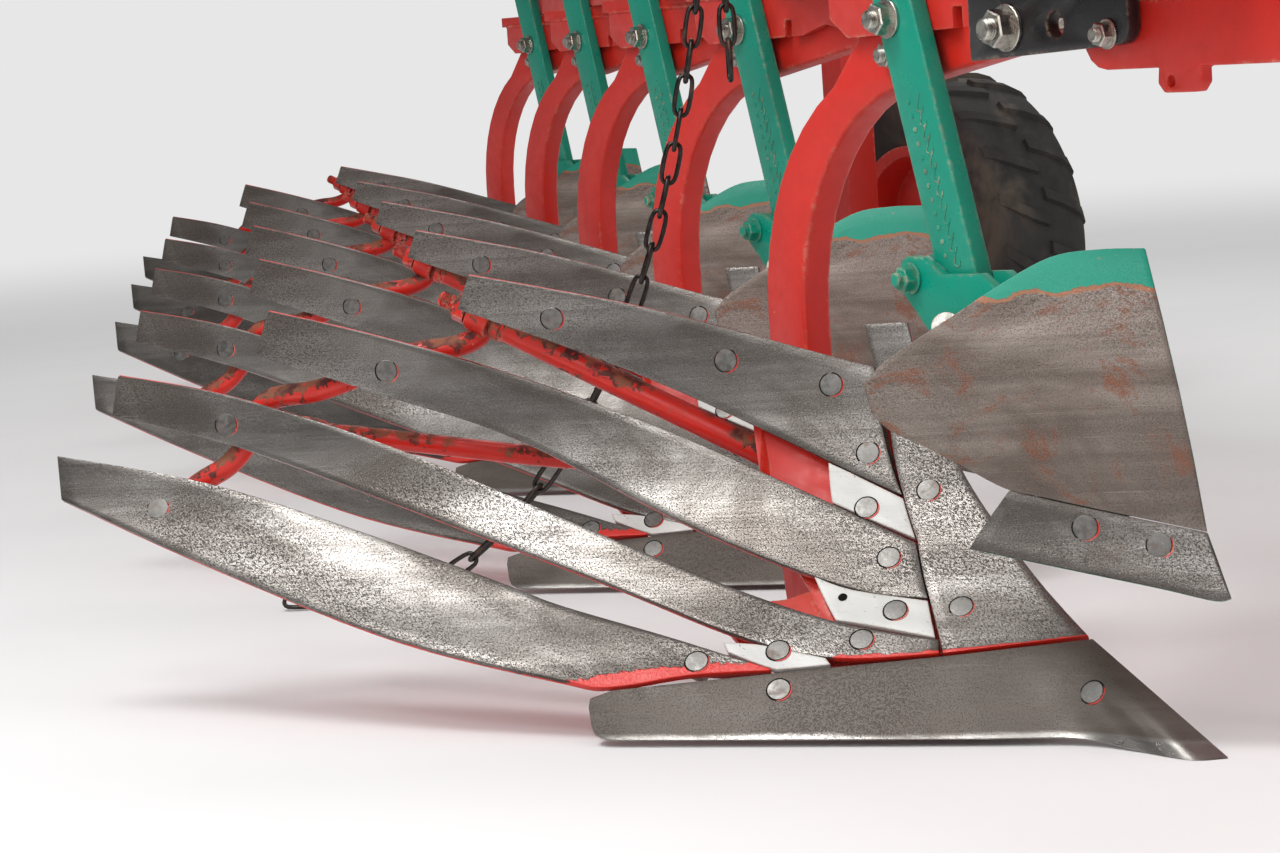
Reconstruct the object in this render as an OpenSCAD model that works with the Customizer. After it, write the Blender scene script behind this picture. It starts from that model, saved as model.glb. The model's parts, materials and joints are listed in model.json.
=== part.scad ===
// Mounted one-way moldboard plough with slatted boards and skimmers, millimetres, +Z up.
// X is the travel direction, Y the landside (left), the floor is z = 0.
// A bottom is drawn with its share nose at the origin and then stepped back and to the left.

/* [Bottoms] */
// how many bottoms
bottom_count = 5; // [3:1:6]
// spacing of the bottoms along travel
body_pitch = 900; // [800:10:1100]
// furrow width of one bottom
furrow_w = 400; // [350:5:450]
// how far the share nose dips under the cutting edge
nose_dip = 8; // [4:1:14]

/* [Mouldboard] */
// thickness of a slat
slat_t = 8; // [6:0.5:12]
// thickness of the shin piece
shin_t = 10; // [8:0.5:14]
// thickness of the share
share_t = 12; // [8:0.5:16]
// thickness of the frog behind the board
frog_t = 12; // [8:0.5:18]
// open joint between board pieces
joint_gap = 1; // [0.5:0.1:3]
// angle of the board to travel at the cutting edge
board_angle = 41; // [36:0.5:46]
// extra angle gained at the top of the board
board_twist = 6; // [0:0.5:12]

/* [Stays] */
// bent bar behind the slat tails
bar_d = 24; // [16:1:34]
// adjusting rod tube
rod_d = 28; // [20:1:36]
// thread of the adjusting rod
thread_d = 18; // [14:1:24]
// lower stay tube
low_d = 22; // [16:1:30]

/* [Leg] */
// thickness of a leg
leg_t = 35; // [25:1:45]
// depth of a leg, rear to front
leg_depth = 72; // [60:1:90]
// rear of the leg behind the share nose
leg_rear = 672; // [640:1:700]
// right face of the legs, from the landside
leg_face = 45; // [40:1:60]
// height where the swan neck starts to bend
bend_z = 385; // [340:5:430]
// outer radius of the swan neck
bend_outer = 268; // [240:1:300]
// inner radius of the swan neck
bend_inner = 242; // [210:1:270]
// shear bolt end of the leg behind the share nose
head_x = 110; // [80:1:140]
// thickness of the cheek plates beside a leg
cheek_t = 12; // [8:1:20]
// thickness of the plate between cheeks and beam
saddle_t = 20; // [12:1:30]

/* [Skimmer] */
// width of a skimmer stem
stem_w = 64; // [40:1:75]
// thickness of a skimmer stem
stem_t = 20; // [14:1:30]
// top of a skimmer stem over the floor
stem_top = 935; // [880:5:1100]
// thickness of the skimmer board
skim_t = 7; // [5:0.5:10]

/* [Frame] */
// side of the main beam tube
beam_a = 140; // [120:5:180]
// wall of the main beam tube
beam_wall = 10; // [6:1:14]
// underside of the beam over the floor
beam_clear = 760; // [720:5:820]
// side of the cross beam tube
cross_a = 140; // [120:5:180]
// centre of the cross beam ahead of the first share nose
cross_x = 130; // [100:5:250]
// left end of the cross beam
cross_left = 760; // [700:10:900]
// side of the landside brace tube
brace_a = 100; // [80:5:140]
// wall of the brace tube
brace_wall = 8; // [5:1:12]
// brace centre line
brace_y = 690; // [640:5:720]
// thickness of end caps, flanges and gussets
plate_t = 12; // [6:1:20]

/* [Hitch] */
// centre line of the hitch
hitch_y = 300; // [200:10:400]
// lower link pins ahead of the first share nose
pin_x = 540; // [450:10:650]
// lower link pins over the floor
pin_z = 568; // [500:4:640]
// lower link pin diameter, category 3
pin_d = 36.6; // [28:0.1:37.5]
// length of a lower link pin
pin_len = 130; // [90:5:150]
// distance between the pin shoulders
pin_spread = 965; // [825:5:1010]
// bar between the pins
shaft_d = 55; // [45:1:70]
// mast height over the lower pins
mast_h = 685; // [600:5:720]
// top link pin diameter
top_pin_d = 31.75; // [25:0.25:32]
// play of the top link pin in its bore
top_fit = 0.3; // [0.1:0.1:1]
// clear width between the mast plates
mast_gap = 120; // [90:2:140]
// thickness of the mast plates
mast_t = 16; // [12:1:25]
// radius of the plates round a pin
boss_r = 52; // [40:1:70]
// stay tubes from the mast to the frame
stay_d = 50; // [40:1:70]

/* [Furrow side arm] */
// right face of the dark plate that carries the arm
furrow_y = -112; // [-130:1:-100]
// height of the arm
arm_h = 60; // [50:1:80]
// underside of the arm over the floor
arm_z = 640; // [620:1:660]

/* [Depth wheel] */
// outside diameter of the tyre
wheel_d = 600; // [450:10:700]
// width of the tyre
wheel_w = 190; // [140:5:240]
// wheel centre behind the first share nose
wheel_x = -2450; // [-2600:10:-2300]
// wheel centre line
wheel_y = 1490; // [1440:10:1600]
// side of the sliding wheel post
post_a = 60; // [50:1:80]
// sliding clearance in the sleeves
slide_c = 0.6; // [0.3:0.1:2]
// wall of the sleeves
sleeve_wall = 10; // [6:1:14]
// axle diameter
axle_d = 40; // [30:1:60]

/* [Stand] */
// side of the stand leg
stand_a = 50; // [40:1:70]
// foot plate side
foot_a = 200; // [140:10:260]
// spacing of the pin holes in the stand leg
hole_pitch = 75; // [50:5:120]

/* [Chain] */
// length of a chain link inside
link_pitch = 45; // [30:1:60]
// width of a chain link outside
link_w = 27; // [20:1:36]
// chain wire
wire_d = 8; // [5:0.5:12]
// hanging and lying links of the long strand
link_count = 25; // [23:1:27]

/* [Hidden] */
$fn = 40;
seat = 0.3;

RED = [0.72, 0.07, 0.05];
GREEN = [0.02, 0.45, 0.36];
STEEL = [0.6, 0.6, 0.58];
DARK = [0.14, 0.13, 0.13];

step = [-body_pitch, furrow_w, 0];
beam_yaw = atan2(furrow_w, -body_pitch);
beam_dir = [cos(beam_yaw), sin(beam_yaw), 0];
beam_right = [-sin(beam_yaw), cos(beam_yaw), 0];
// the beam's centre line passes here at the first leg
beam_p = [-400, leg_face, beam_clear + beam_a / 2];
beam_top = beam_clear + beam_a;
cross_back = cross_x - cross_a / 2;
cross_front = cross_x + cross_a / 2;
cross_right = beam_p[1] - (cross_x - beam_p[0]) * furrow_w / body_pitch - 100;
pin_rest = pin_z + mast_h;
leg_back = -leg_rear;
leg_front = leg_back + leg_depth;
leg_foot = 225;
head_z = 686;
head_r = 20;
cheek_top = beam_clear - nose_dip - saddle_t;
web_y = -leg_face - seat - cheek_t;
stem_y = web_y - seat - stem_t;

function lerp(a, b, u) = a + (b - a) * u;
function unit(v) = v / norm(v);
function arc(x, z, r, a0, a1, n) = [for (i = [0:n]) let(a = lerp(a0, a1, i / n)) [x + r * cos(a), z + r * sin(a)]];
// corners of a bent bar cut off, so that the bar bends in short steps
function eased(p) = concat([p[0]],
    [for (i = [0:len(p)-2]) each [lerp(p[i], p[i+1], 0.25), lerp(p[i], p[i+1], 0.75)]], [p[len(p)-1]]);

// landside profile of the board, columns: height, setback
shin_line = [[0,-80], [40,-135], [80,-195], [120,-260], [165,-320], [220,-382], [280,-428],
    [340,-458], [400,-478], [460,-488], [520,-492]];
// degrees the board turns in for each millimetre along a slat
board_curve = 0.008;
rad = PI / 180;
function board_a0(z) = board_angle + board_twist * pow(max(0, z - 200) / 250, 2);
// a point of the board face, t along the slats from the landside and z up
function board(t, z) = let(a = board_a0(z), k = board_curve)
    [lookup(z, shin_line) - (sin(a + k * t) - sin(a)) / (k * rad), (cos(a + k * t) - cos(a)) / (k * rad), z];

// landside profile of the skimmer, columns: height, setback
skim_line = [[120,8], [140,-2], [200,-32], [285,-50], [385,-77], [460,-100], [500,-112]];
skim_a0 = 43;
skim_curve = 0.03;
skim_y = 10;
function skim(t, z) = let(a = skim_a0, k = skim_curve)
    [lookup(z, skim_line) - (sin(a + k * t) - sin(a)) / (k * rad),
     skim_y + (cos(a + k * t) - cos(a)) / (k * rad), z];
function face(s, t, z) = s == 1 ? skim(t, z) : board(t, z);
// the normal that points behind the face
function back(s, t, z) = unit(cross(face(s, t + 4, z) - face(s, t - 4, z), face(s, t, z + 12) - face(s, t, z - 12)));
function behind(s, t, z, d) = face(s, t, z) + d * back(s, t, z);
function beside(q, d) = behind(0, q[0], q[1], d);

// a closed shell from two equal grids of points, front and back
module grid_solid(F, B) {
    r = len(F);
    c = len(F[0]);
    n = r * c;
    pts = concat([for (row = F) each row], [for (row = B) each row]);
    function f(i, j) = i * c + j;
    function b(i, j) = n + i * c + j;
    tri = concat(
        [for (i = [0:r-2]) for (j = [0:c-2]) each [
            [f(i,j), f(i+1,j), f(i+1,j+1)], [f(i,j), f(i+1,j+1), f(i,j+1)],
            [b(i,j), b(i+1,j+1), b(i+1,j)], [b(i,j), b(i,j+1), b(i+1,j+1)]]],
        [for (i = [0:r-2]) each [
            [f(i+1,0), f(i,0), b(i,0)], [f(i+1,0), b(i,0), b(i+1,0)],
            [f(i,c-1), f(i+1,c-1), b(i+1,c-1)], [f(i,c-1), b(i+1,c-1), b(i,c-1)]]],
        [for (j = [0:c-2]) each [
            [f(0,j), f(0,j+1), b(0,j+1)], [f(0,j), b(0,j+1), b(0,j)],
            [f(r-1,j+1), f(r-1,j), b(r-1,j)], [f(r-1,j+1), b(r-1,j), b(r-1,j+1)]]]);
    polyhedron(pts, tri, convexity = 6);
}

// a bar of n sides along a path, its turn kept by the upright vector
module sweep(p, r, n = 8, upright = [0, 0, 1]) {
    m = len(p);
    pts = [for (i = [0:m-1]) let(t = unit(p[min(m-1, i+1)] - p[max(0, i-1)]), a = unit(cross(t, upright)),
        b = cross(a, t)) for (j = [0:n-1]) p[i] + r * (cos(360 * j / n) * a + sin(360 * j / n) * b)];
    tri = [for (i = [0:m-2]) for (j = [0:n-1]) let(k = (j + 1) % n) each [
        [i*n + j, i*n + k, (i+1)*n + k], [i*n + j, (i+1)*n + k, (i+1)*n + j]]];
    polyhedron(pts, concat(tri, [[for (j = [n-1:-1:0]) j]], [[for (j = [0:n-1]) (m-1)*n + j]]), convexity = 8);
}

// a strip of the face between a low and a high edge, columns: t low, z low, t high, z high
// s is 0 for board pieces that stop at the shin, 1 for the skimmer, 2 for plates behind the board
function strip_at(s, q, u, d) = let(t = lerp(q[0], q[2], u), z = lerp(q[1], q[3], u))
    behind(s, s == 0 ? clear_t(t, z) : t, z, d);
function strip_grid(s, rows, d, cols, c0, c1) = [for (q = rows) [for (j = [c0:c1]) strip_at(s, q, j / cols, d)]];
module strip(s, rows, d0, d1, cols, c0 = 0, c1 = -1) {
    last = c1 < 0 ? cols : c1;
    grid_solid(strip_grid(s, rows, d0, cols, c0, last), strip_grid(s, rows, d1, cols, c0, last));
}

module each_bottom() for (i = [0:bottom_count-1]) translate(i * step) children();
module bottom(i) if (i < bottom_count) translate(i * step) children();
module lifted() translate([0, 0, nose_dip]) children();
module place() translate(shift) children();
// an outline in the X-Z plane, from y0 toward the landside
module side(y0, t) translate([0, y0 + t, 0]) rotate([90, 0, 0]) linear_extrude(t) children();
module tube(a, wall, len) difference() {
    translate([0, -a/2, -a/2]) cube([len, a, a]);
    translate([-1, -a/2 + wall, -a/2 + wall]) cube([len + 2, a - 2*wall, a - 2*wall]);
}
module along_y(x, z, y0, y1, d) translate([x, y0, z]) rotate([-90, 0, 0]) cylinder(d = d, h = y1 - y0);
module rod(a, b, d) {
    v = b - a;
    translate(a) rotate([0, acos(v[2] / norm(v)), atan2(v[1], v[0])]) cylinder(d = d, h = norm(v));
}
// a round post behind the board face from depth d0 to d1
module lug(q, d0, d1, d) rod(beside(q, d0), beside(q, d1), d);

// joint between shin and slats, columns: height, distance from the landside
shin_joint = [[60,162], [70,160], [115,127], [168,94], [210,77], [280,54], [335,48], [400,47]];
// upper joint of the share, columns: distance from the landside, height
share_joint = [[0,83], [160,70], [340,58], [520,46], [550,39]];
function clear_t(t, z) = max(t, lookup(z, shin_joint) + joint_gap);
function clear_z(t, z) = max(z, lookup(t, share_joint) + joint_gap);
function fitted(q) = [q[0], clear_z(clear_t(q[0], q[1]), q[1]), q[2], clear_z(clear_t(q[2], q[3]), q[3])];
function fitted_rows(rows) = [for (q = rows) fitted(q)];

// the four slats, top first, root to tail, columns: t low, z low, t high, z high
slat_rows = [for (rows = [
    [[0,210, 0,336], [120,235, 100,352], [210,290, 200,385], [300,338, 290,412], [385,378, 375,433],
     [475,417, 455,452]],
    [[0,117, 0,166], [200,128, 190,224], [310,182, 300,284], [455,276, 440,346], [588,330, 570,392],
     [709,379, 680,425]],
    [[0,0, 0,82], [267,68, 244,100], [342,85, 335,138], [450,139, 430,188], [617,216, 600,276],
     [775,284, 755,336], [893,322, 869,364]],
    [[345,0, 344,60], [430,56, 420,88], [520,0, 509,118], [566,54, 556,140], [704,92, 680,194],
     [850,160, 820,246], [989,235, 973,281]]]) fitted_rows(rows)];
// shin piece, columns: z at the landside, z at the joint; the first row follows the share
shin_w = 162;
shin_rows = [[0,0], [122,115], [166,168], [222,210], [280,280], [335,335], [380,380]];
// share, columns: cutting edge x, y, z and the t of its upper joint
share_rows = [[-520,-393,0, 548], [-422,-306,0, 430], [-310,-206,0, 300], [-220,-125,0, 190],
    [-150,-62,0, 110], [-88,-41,-6, 60], [-46,-35,-8, 35], [-18,-26,-8, 16], [-4,-2,-7, 1]];
// fillers between the slats, columns as the slats
filler_rows = [for (rows = [
    [[0,170, 0,207], [126,188, 119,233], [155,205, 136,243]],
    [[154,84, 129,115], [200,93.5, 196,125.6], [238,100, 225,138]],
    [[280,0, 280,68.5], [305,0, 305,74], [338,0, 338,81], [374,75, 371,83]]]) fitted_rows(rows)];

module slats_one() color(STEEL) for (q = slat_rows) strip(0, q, 0, slat_t, 4);
function shin_at(q, u, d) = let(zj = clear_z(shin_w, q[1]), z0 = clear_z(0, q[0]))
    behind(0, lerp(lookup(zj, shin_joint), 2, u), lerp(zj, z0, u), d);
function shin_grid(i0, i1, j0, j1, d) = [for (i = [i0:i1]) [for (j = [j0:j1]) shin_at(shin_rows[i], j / 3, d)]];
module shin_one() color(STEEL) grid_solid(shin_grid(0, 6, 0, 3, 0), shin_grid(0, 6, 0, 3, shin_t));
share_down = unit([-0.45, 0.5, -0.75]);
function share_front(q, j) = lerp([q[0], q[1], q[2]], board(q[3], lookup(q[3], share_joint) - 1.5 * joint_gap), j / 4);
function share_back(q, j) = let(p = share_front(q, j) + share_down * min(share_t, 2 + 10 * j))
    [p[0], min(p[1], q[3] < 5 ? -0.5 : 100), max(p[2], -nose_dip)];
share_n = len(share_rows) - 1;
module share_one() color(STEEL) grid_solid(
    [for (i = [share_n:-1:0]) [for (j = [0:4]) share_front(share_rows[i], j)]],
    [for (i = [share_n:-1:0]) [for (j = [0:4]) share_back(share_rows[i], j)]]);

leg_outline = concat([[leg_back, leg_foot]],
    arc(leg_back + bend_outer, bend_z, bend_outer, 180, 116, 8),
    [[-430, head_z + head_r + 6], [-head_x, head_z + head_r]],
    arc(-head_x, head_z, head_r, 80, -70, 6),
    arc(leg_front + bend_inner, bend_z, bend_inner, 92, 180, 10),
    [[leg_front, 330], [-560, 270], [-515, leg_foot]]);
module leg_one() color(RED) side(-leg_face, leg_t) polygon(leg_outline);

frog_d = slat_t + 2 * seat + 10;
share_seat = share_t + 2 * seat;
web_t = 76;
function seat_grid(d) = [for (i = [6:-1:2]) [for (j = [2:4]) share_front(share_rows[i], j) + share_down * d]];
// the web's front edge runs in the middle of the plates behind the board and under the share
function web_shin(z) = beside([web_t, z], shin_t + seat + frog_t/2 + 7);
function web_share(j) = lerp(share_front(share_rows[4], j), share_front(share_rows[5], j), 0.5)
    + share_down * (share_seat + frog_t/2 + 3.5);
web_outline = concat([[-640,16], [leg_back,leg_foot], [leg_back,300], [-620,340], [-575,340]],
    [for (z = [330, 280, 220, 165, 120, 96]) [web_shin(z)[0], web_shin(z)[2]]],
    [for (j = [4:-1:2]) [web_share(j)[0], web_share(j)[2]]],
    [[web_share(2)[0] - 30, 16]]);
module frog_one() color(RED) {
    difference() {
        union() {
            side(web_y, cheek_t) polygon(web_outline);
            translate([-650, web_y, 16]) cube([390, -12 - seat - web_y, 14]);
            translate([-650, -24 - seat, 16]) cube([310, 12, 110]);
        }
        for (p = [[-610, 290], [-600, 240]]) along_y(p[0], p[1], web_y - 1, web_y + cheek_t + 1, 22);
    }
    // behind the shin, the slats, the fillers and the share
    grid_solid(shin_grid(1, 5, 0, 2, shin_t + seat), shin_grid(1, 5, 0, 2, shin_t + seat + frog_t));
    for (k = [0:2]) strip(0, [for (i = [0:1]) slat_rows[k][i]], slat_t + seat, frog_d + 2, 4, 1, 3);
    for (k = [0:1]) strip(0, filler_rows[k], slat_t + seat, frog_d + 2, 2);
    strip(2, [[60,100, 50,330], [120,90, 80,330], [200,75, 130,315], [270,72, 200,290]], frog_d, frog_d + frog_t, 5);
    strip(2, [[260,74, 190,290], [300,73, 300,128], [350,80, 350,112]], frog_d, frog_d + frog_t, 3);
    strip(0, [for (i = [0:2]) filler_rows[2][i]], slat_t + seat, frog_d + 2, 2);
    strip(0, [for (i = [0:1]) slat_rows[3][i]], slat_t + seat, frog_d + 2, 4, 1, 4);
    grid_solid(seat_grid(share_seat), seat_grid(share_seat + frog_t));
    lug(rod_foot, frog_d, rod_depth - rod_d/2 - 4, 40);
    lug(stay_foot, frog_d, low_depth - low_d/2 - 1, 34);
}
module fillers_one() color(STEEL) for (q = filler_rows) strip(0, q, 0.5, slat_t, 2);
heel_top = 110;
module landside_one() color(STEEL) side(-12, 12) difference() {
    polygon([[-700,-nose_dip], [-700,heel_top - 20], [-680,heel_top], [-330,heel_top], [-250,40], [-215,6],
        [-560,0], [-600,-nose_dip]]);
    for (x = [-620, -480, -370]) translate([x, 60]) circle(d = 16);
}

// bars behind the board, columns: t, z
rod_depth = 52;
rod_foot = [178, 252];
rod_collar = [448, 391];
rod_tip = [504, 416];
rod_line = [beside(rod_foot, rod_depth), beside(rod_tip, rod_depth)];
low_depth = 60;
stay_foot = [200, 225];
stay_path = [[200,225], [270,256], [330,263], [424,269], [520,279], [610,289], [690,297]];
// columns: t, z, depth of the bar's centre
tail_path = [[462,398,52], [474,380,50], [500,372,38], [545,368,28], [600,352,24], [660,336,24], [722,327,24],
    [752,295,24], [790,268,24], [830,252,24], [885,226,24]];
tail_pads = [[560,363], [745,303], [872,232]];
function on_rod(u) = lerp(rod_line[0], rod_line[1], u);
rod_len = norm(rod_line[1] - rod_line[0]);
collar_u = norm(beside(rod_collar, rod_depth) - rod_line[0]) / rod_len;
hook_u = norm(beside([tail_path[0][0], tail_path[0][1]], tail_path[0][2]) - rod_line[0]) / rod_len;
nut_h = 16;
module rods_one() color(RED) {
    rod(rod_line[0], on_rod(collar_u), rod_d);
    rod(on_rod(collar_u - 0.001), rod_line[1], thread_d);
    // nuts before and behind the hook of the tail bracket
    for (s = [-1, 1]) rod(on_rod(hook_u + s * (bar_d/2 + seat + nut_h/2 + 3 - s * nut_h/2) / rod_len),
        on_rod(hook_u + s * (bar_d/2 + seat + nut_h/2 + 3 + s * nut_h/2) / rod_len), 32, $fn = 6);
}
module tail_one() color(RED) {
    difference() {
        union() {
            sweep(eased([for (q = tail_path) beside(q, q[2])]), bar_d / 2, 8);
            rod(on_rod(hook_u - 13 / rod_len), on_rod(hook_u + 13 / rod_len), 36);
        }
        rod(on_rod(hook_u - 0.1), on_rod(hook_u + 0.1), thread_d + 2);
    }
    for (q = tail_pads) lug(q, slat_t + 2*seat, 24, 34);
}
module lower_one() color(RED) {
    sweep([for (q = stay_path) beside(q, low_depth)], low_d / 2, 8);
    lug(stay_path[6], slat_t + 2*seat, low_depth, 30);
}

// centre line of the skimmer stem
stem_foot = [-276, 432];
stem_slope = 0.31;
stem_drop = 1 / sqrt(1 + stem_slope * stem_slope);
function stem_x(z) = stem_foot[0] - (z - stem_foot[1]) * stem_slope;
function stem_edge(z, s) = [stem_x(z) + s * stem_w / 2, z];
function stem_box(z0, z1, w) = [[stem_x(z0) - w, z0], [stem_x(z0) + w, z0], [stem_x(z1) + w, z1], [stem_x(z1) - w, z1]];
module stem_one() color(GREEN) side(stem_y, stem_t) polygon(stem_box(stem_foot[1], stem_top - nose_dip, stem_w / 2));
ear = [-339, 437];
ear_r = 22;
bracket_t = 10;
module bracket_one() color(GREEN) difference() {
    union() {
        for (y = [stem_y - seat - bracket_t, stem_y + stem_t + seat]) side(y, bracket_t) {
            translate(ear) circle(r = ear_r);
            polygon([[-346,456], [-322,459], [-303,450], [-290,442], [-228,444], [-206,432], [-200,405], [-220,375],
                [-268,372], [-318,388], [-358,424]]);
        }
        side(stem_y - seat, stem_t + 2*seat) polygon([[-330,428], [-232,428], [-208,405], [-222,378], [-268,374],
            [-318,390]]);
        strip(1, [[70,185, 70,425], [110,192, 110,428], [150,220, 160,405]], skim_t + 2.6, skim_t + 11, 9);
    }
    along_y(ear[0], ear[1], stem_y - 40, stem_y + 60, 16);
}
// skimmer board and its share, columns: t low, z low, t high, z high
skim_rows = [[0,200, 0,462], [50,212, 45,463], [95,223, 90,458], [140,235, 143,435], [179,246, 185,413],
    [217,270, 218,396], [250,290, 252,378], [276,305, 275,364], [290,322, 292,348]];
skim_share_rows = [[0,141, 0,199.2], [16,139, 20,204], [60,151, 60,213.6], [112,164, 115,227.5], [223,192, 175,244]];
module skimmer_one() color(STEEL) strip(1, skim_rows, 0, skim_t, 5);
module skim_share_one() color(STEEL) strip(1, skim_share_rows, 0, skim_t + 1, 3);
// a strap on the beam that holds the stem above the picture's frame line
holder_z = 800;
holder_h = 60;
module holder_one() color(RED) difference() {
    side(stem_y - 14, 90) polygon(stem_box(holder_z, holder_z + holder_h, stem_w / 2 + 16));
    side(stem_y - seat, stem_t + 2 * seat) polygon(stem_box(holder_z - 10, holder_z + holder_h + 10, stem_w / 2 + seat));
    translate([0, 0, -nose_dip]) on_beam() translate([-1000, -1000, -300]) cube([2000, 1000 + beam_a/2 + seat, 600]);
}

// cheeks beside the leg head and the saddle under the beam
cheek_rear = -500;
cheek_outline = concat([[cheek_rear, cheek_top + 1], [cheek_rear, 694], [-470, 674], [-300, 677], [-250, 678],
    [-200, 690], [-150, 680]], arc(-head_x, head_z, head_r + 2, -110, 0, 5), [[-head_x + head_r + 2, cheek_top + 1]]);
module cheeks_one() color(RED) {
    for (y = [web_y, -leg_face + leg_t + seat]) side(y, cheek_t) difference() {
        polygon(cheek_outline);
        translate([-289, 670]) square([15, 28]);
    }
    translate([cheek_rear - 20, web_y, cheek_top]) cube([440, 150, saddle_t]);
}

// frame
module on_beam() translate(beam_p) rotate([0, 0, beam_yaw]) children();
beam_rear = (bottom_count - 1) * norm(step) + 330;
module main_beam() color(RED) {
    difference() {
        on_beam() translate([-700, 0, 0]) tube(beam_a, beam_wall, beam_rear + 700);
        translate([cross_back, -2000, 0]) cube([2000, 4000, 2000]);
    }
    on_beam() translate([beam_rear - 1, -beam_a/2 - 4, -beam_a/2 - 4]) cube([plate_t, beam_a + 8, beam_a + 8]);
}
module cross_beam() color(RED) translate([cross_x, cross_right, beam_p[2]]) rotate([0, 0, 90]) {
    tube(cross_a, beam_wall, cross_left - cross_right);
    translate([-plate_t + 1, -cross_a/2 - 4, -cross_a/2 - 4]) cube([plate_t, cross_a + 8, cross_a + 8]);
}
module brace_tube() color(RED) {
    difference() {
        translate([-2600, brace_y, beam_p[2]]) tube(brace_a, brace_wall, 2600 + cross_back - plate_t + 1);
        on_beam() translate([-1500, -beam_a/2, -300]) cube([9000, 3000, 600]);
    }
    translate([cross_back - plate_t, brace_y - 80, beam_p[2] - 65]) cube([plate_t, 145, 130]);
}
module gusset_plates() color(RED) {
    yb = beam_p[1] - (cross_back - beam_p[0]) * furrow_w / body_pitch;
    translate([0, 0, beam_top + seat]) linear_extrude(plate_t) polygon([[cross_front - 15, yb - 40],
        [cross_front - 15, yb + 230], [cross_back, yb + 300], [-180, yb + 215], [-250, yb + 150], [-250, yb + 95],
        [cross_back, yb - 55]]);
    translate([0, 0, beam_p[2] + brace_a/2 + seat]) linear_extrude(plate_t)
        polygon([[cross_back - plate_t - 1, brace_y + 48], [cross_back - plate_t - 1, brace_y - 190], [-90, brace_y - 48],
            [-150, brace_y - 30], [-150, brace_y + 48]]);
}
top_x = pin_x - 60;
top_r = 46;
mast_foot = beam_clear - 40;
mast_outline = concat([[cross_front, mast_foot], [cross_front, beam_top + 60]],
    arc(top_x, pin_rest, top_r, 150, -20, 8),
    arc(top_x + 330, lerp(pin_z, pin_rest, 0.5), 335, 150, 210, 8),
    arc(pin_x, pin_z, boss_r, 40, -130, 8));
mast_window = [[250,beam_clear], [330,beam_clear - 30], [400,beam_clear + 10], [420,beam_clear + 120],
    [400,beam_clear + 260], [360,beam_clear + 270], [250,beam_clear + 140]];
module mast_plates() color(RED) for (y = [hitch_y - mast_gap/2 - mast_t, hitch_y + mast_gap/2]) difference() {
    side(y, mast_t) difference() {
        polygon(mast_outline);
        polygon(mast_window);
    }
    along_y(pin_x, pin_z, y - 1, y + mast_t + 1, shaft_d + 2*seat);
    along_y(top_x, pin_rest, y - 1, y + mast_t + 1, top_pin_d + top_fit);
    along_y(stay_pin[0], stay_pin[1], y - 1, y + mast_t + 1, stay_pin_d + 2*seat);
}
drop_outline = concat([[cross_front, mast_foot], [cross_front, beam_top], [cross_front + 60, beam_top],
    [pin_x - 60, beam_clear + 10]], arc(pin_x, pin_z, boss_r, 60, -130, 9));
drop_off = pin_spread/2 - 77;
module drop_plates() color(RED) for (s = [-1, 1]) difference() {
    side(hitch_y + s * drop_off - mast_t/2, mast_t) polygon(drop_outline);
    along_y(pin_x, pin_z, hitch_y + s * drop_off - mast_t, hitch_y + s * drop_off + mast_t, shaft_d + 2*seat);
}
module hitch_shaft() color(STEEL) {
    for (s = [-1, 1]) {
        y = hitch_y + s * pin_spread / 2;
        along_y(pin_x, pin_z, min(y, y - s * 14), max(y, y - s * 14), shaft_d + 20);
    }
    along_y(pin_x, pin_z, hitch_y - pin_spread/2, hitch_y + pin_spread/2, shaft_d);
    difference() {
        along_y(pin_x, pin_z, hitch_y - pin_spread/2 - pin_len, hitch_y + pin_spread/2 + pin_len, pin_d);
        for (s = [-1, 1]) translate([pin_x, hitch_y + s * (pin_spread/2 + pin_len - 18), pin_z - 40]) cylinder(d = 12, h = 80);
    }
}
// stays from a pin between the mast plates, columns: x, y, z of the foot
stay_feet = [[-1300, beam_p[1] + 900 * furrow_w / body_pitch, beam_top], [-700, brace_y, beam_p[2] + brace_a/2]];
stay_pin = [top_x - 40, pin_rest - 95];
stay_pin_d = 32;
module mast_stays() color(RED) {
    for (i = [0, 1]) {
        q = stay_feet[i];
        head = [stay_pin[0], hitch_y + i * (mast_gap/2 + mast_t + 30), stay_pin[1]];
        rod(head, q + [0, 0, 44], stay_d);
        translate(q + [-60, -35, seat]) cube([120, 70, plate_t]);
        translate(q + [-35, -plate_t, seat + 2]) cube([70, 2*plate_t, 58]);
    }
    along_y(stay_pin[0], stay_pin[1], hitch_y - mast_gap/2 - mast_t - 8, hitch_y + mast_gap/2 + mast_t + 60, stay_pin_d);
}

// dark plate and arm beside the first bottom
furrow_t = 14;
furrow_front = 43;
furrow_rear = -190;
module furrow_plate() color(DARK) side(furrow_y, furrow_t) difference() {
    polygon(concat([[furrow_rear, beam_clear - seat], [furrow_rear, arm_z + 14]],
        arc(furrow_front - 18, arm_z + 40, 18, -90, 0, 5), [[furrow_front, beam_clear - seat]]));
    for (x = [-130, -60]) translate([x, arm_z + 43]) circle(d = 24);
}
arm_y = hitch_y - drop_off + mast_t/2 + seat;
arm_t = 40;
arm_tail = -10;
module furrow_arm() color(RED) difference() {
    union() {
        side(arm_y, arm_t) polygon(concat(arc(arm_tail, arm_z + arm_h/2, arm_h/2, 90, 270, 8),
            [[430, arm_z], [450, arm_z + 20], [450, arm_z + arm_h]]));
        side(arm_y, 14) polygon([[62, arm_z + 1], [60, arm_z - 14], [68, arm_z - 22], [110, arm_z - 22], [118, arm_z - 14],
            [118, arm_z + 1]]);
    }
    along_y(78, arm_z - 12, arm_y - 1, arm_y + 20, 10);
}

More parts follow.
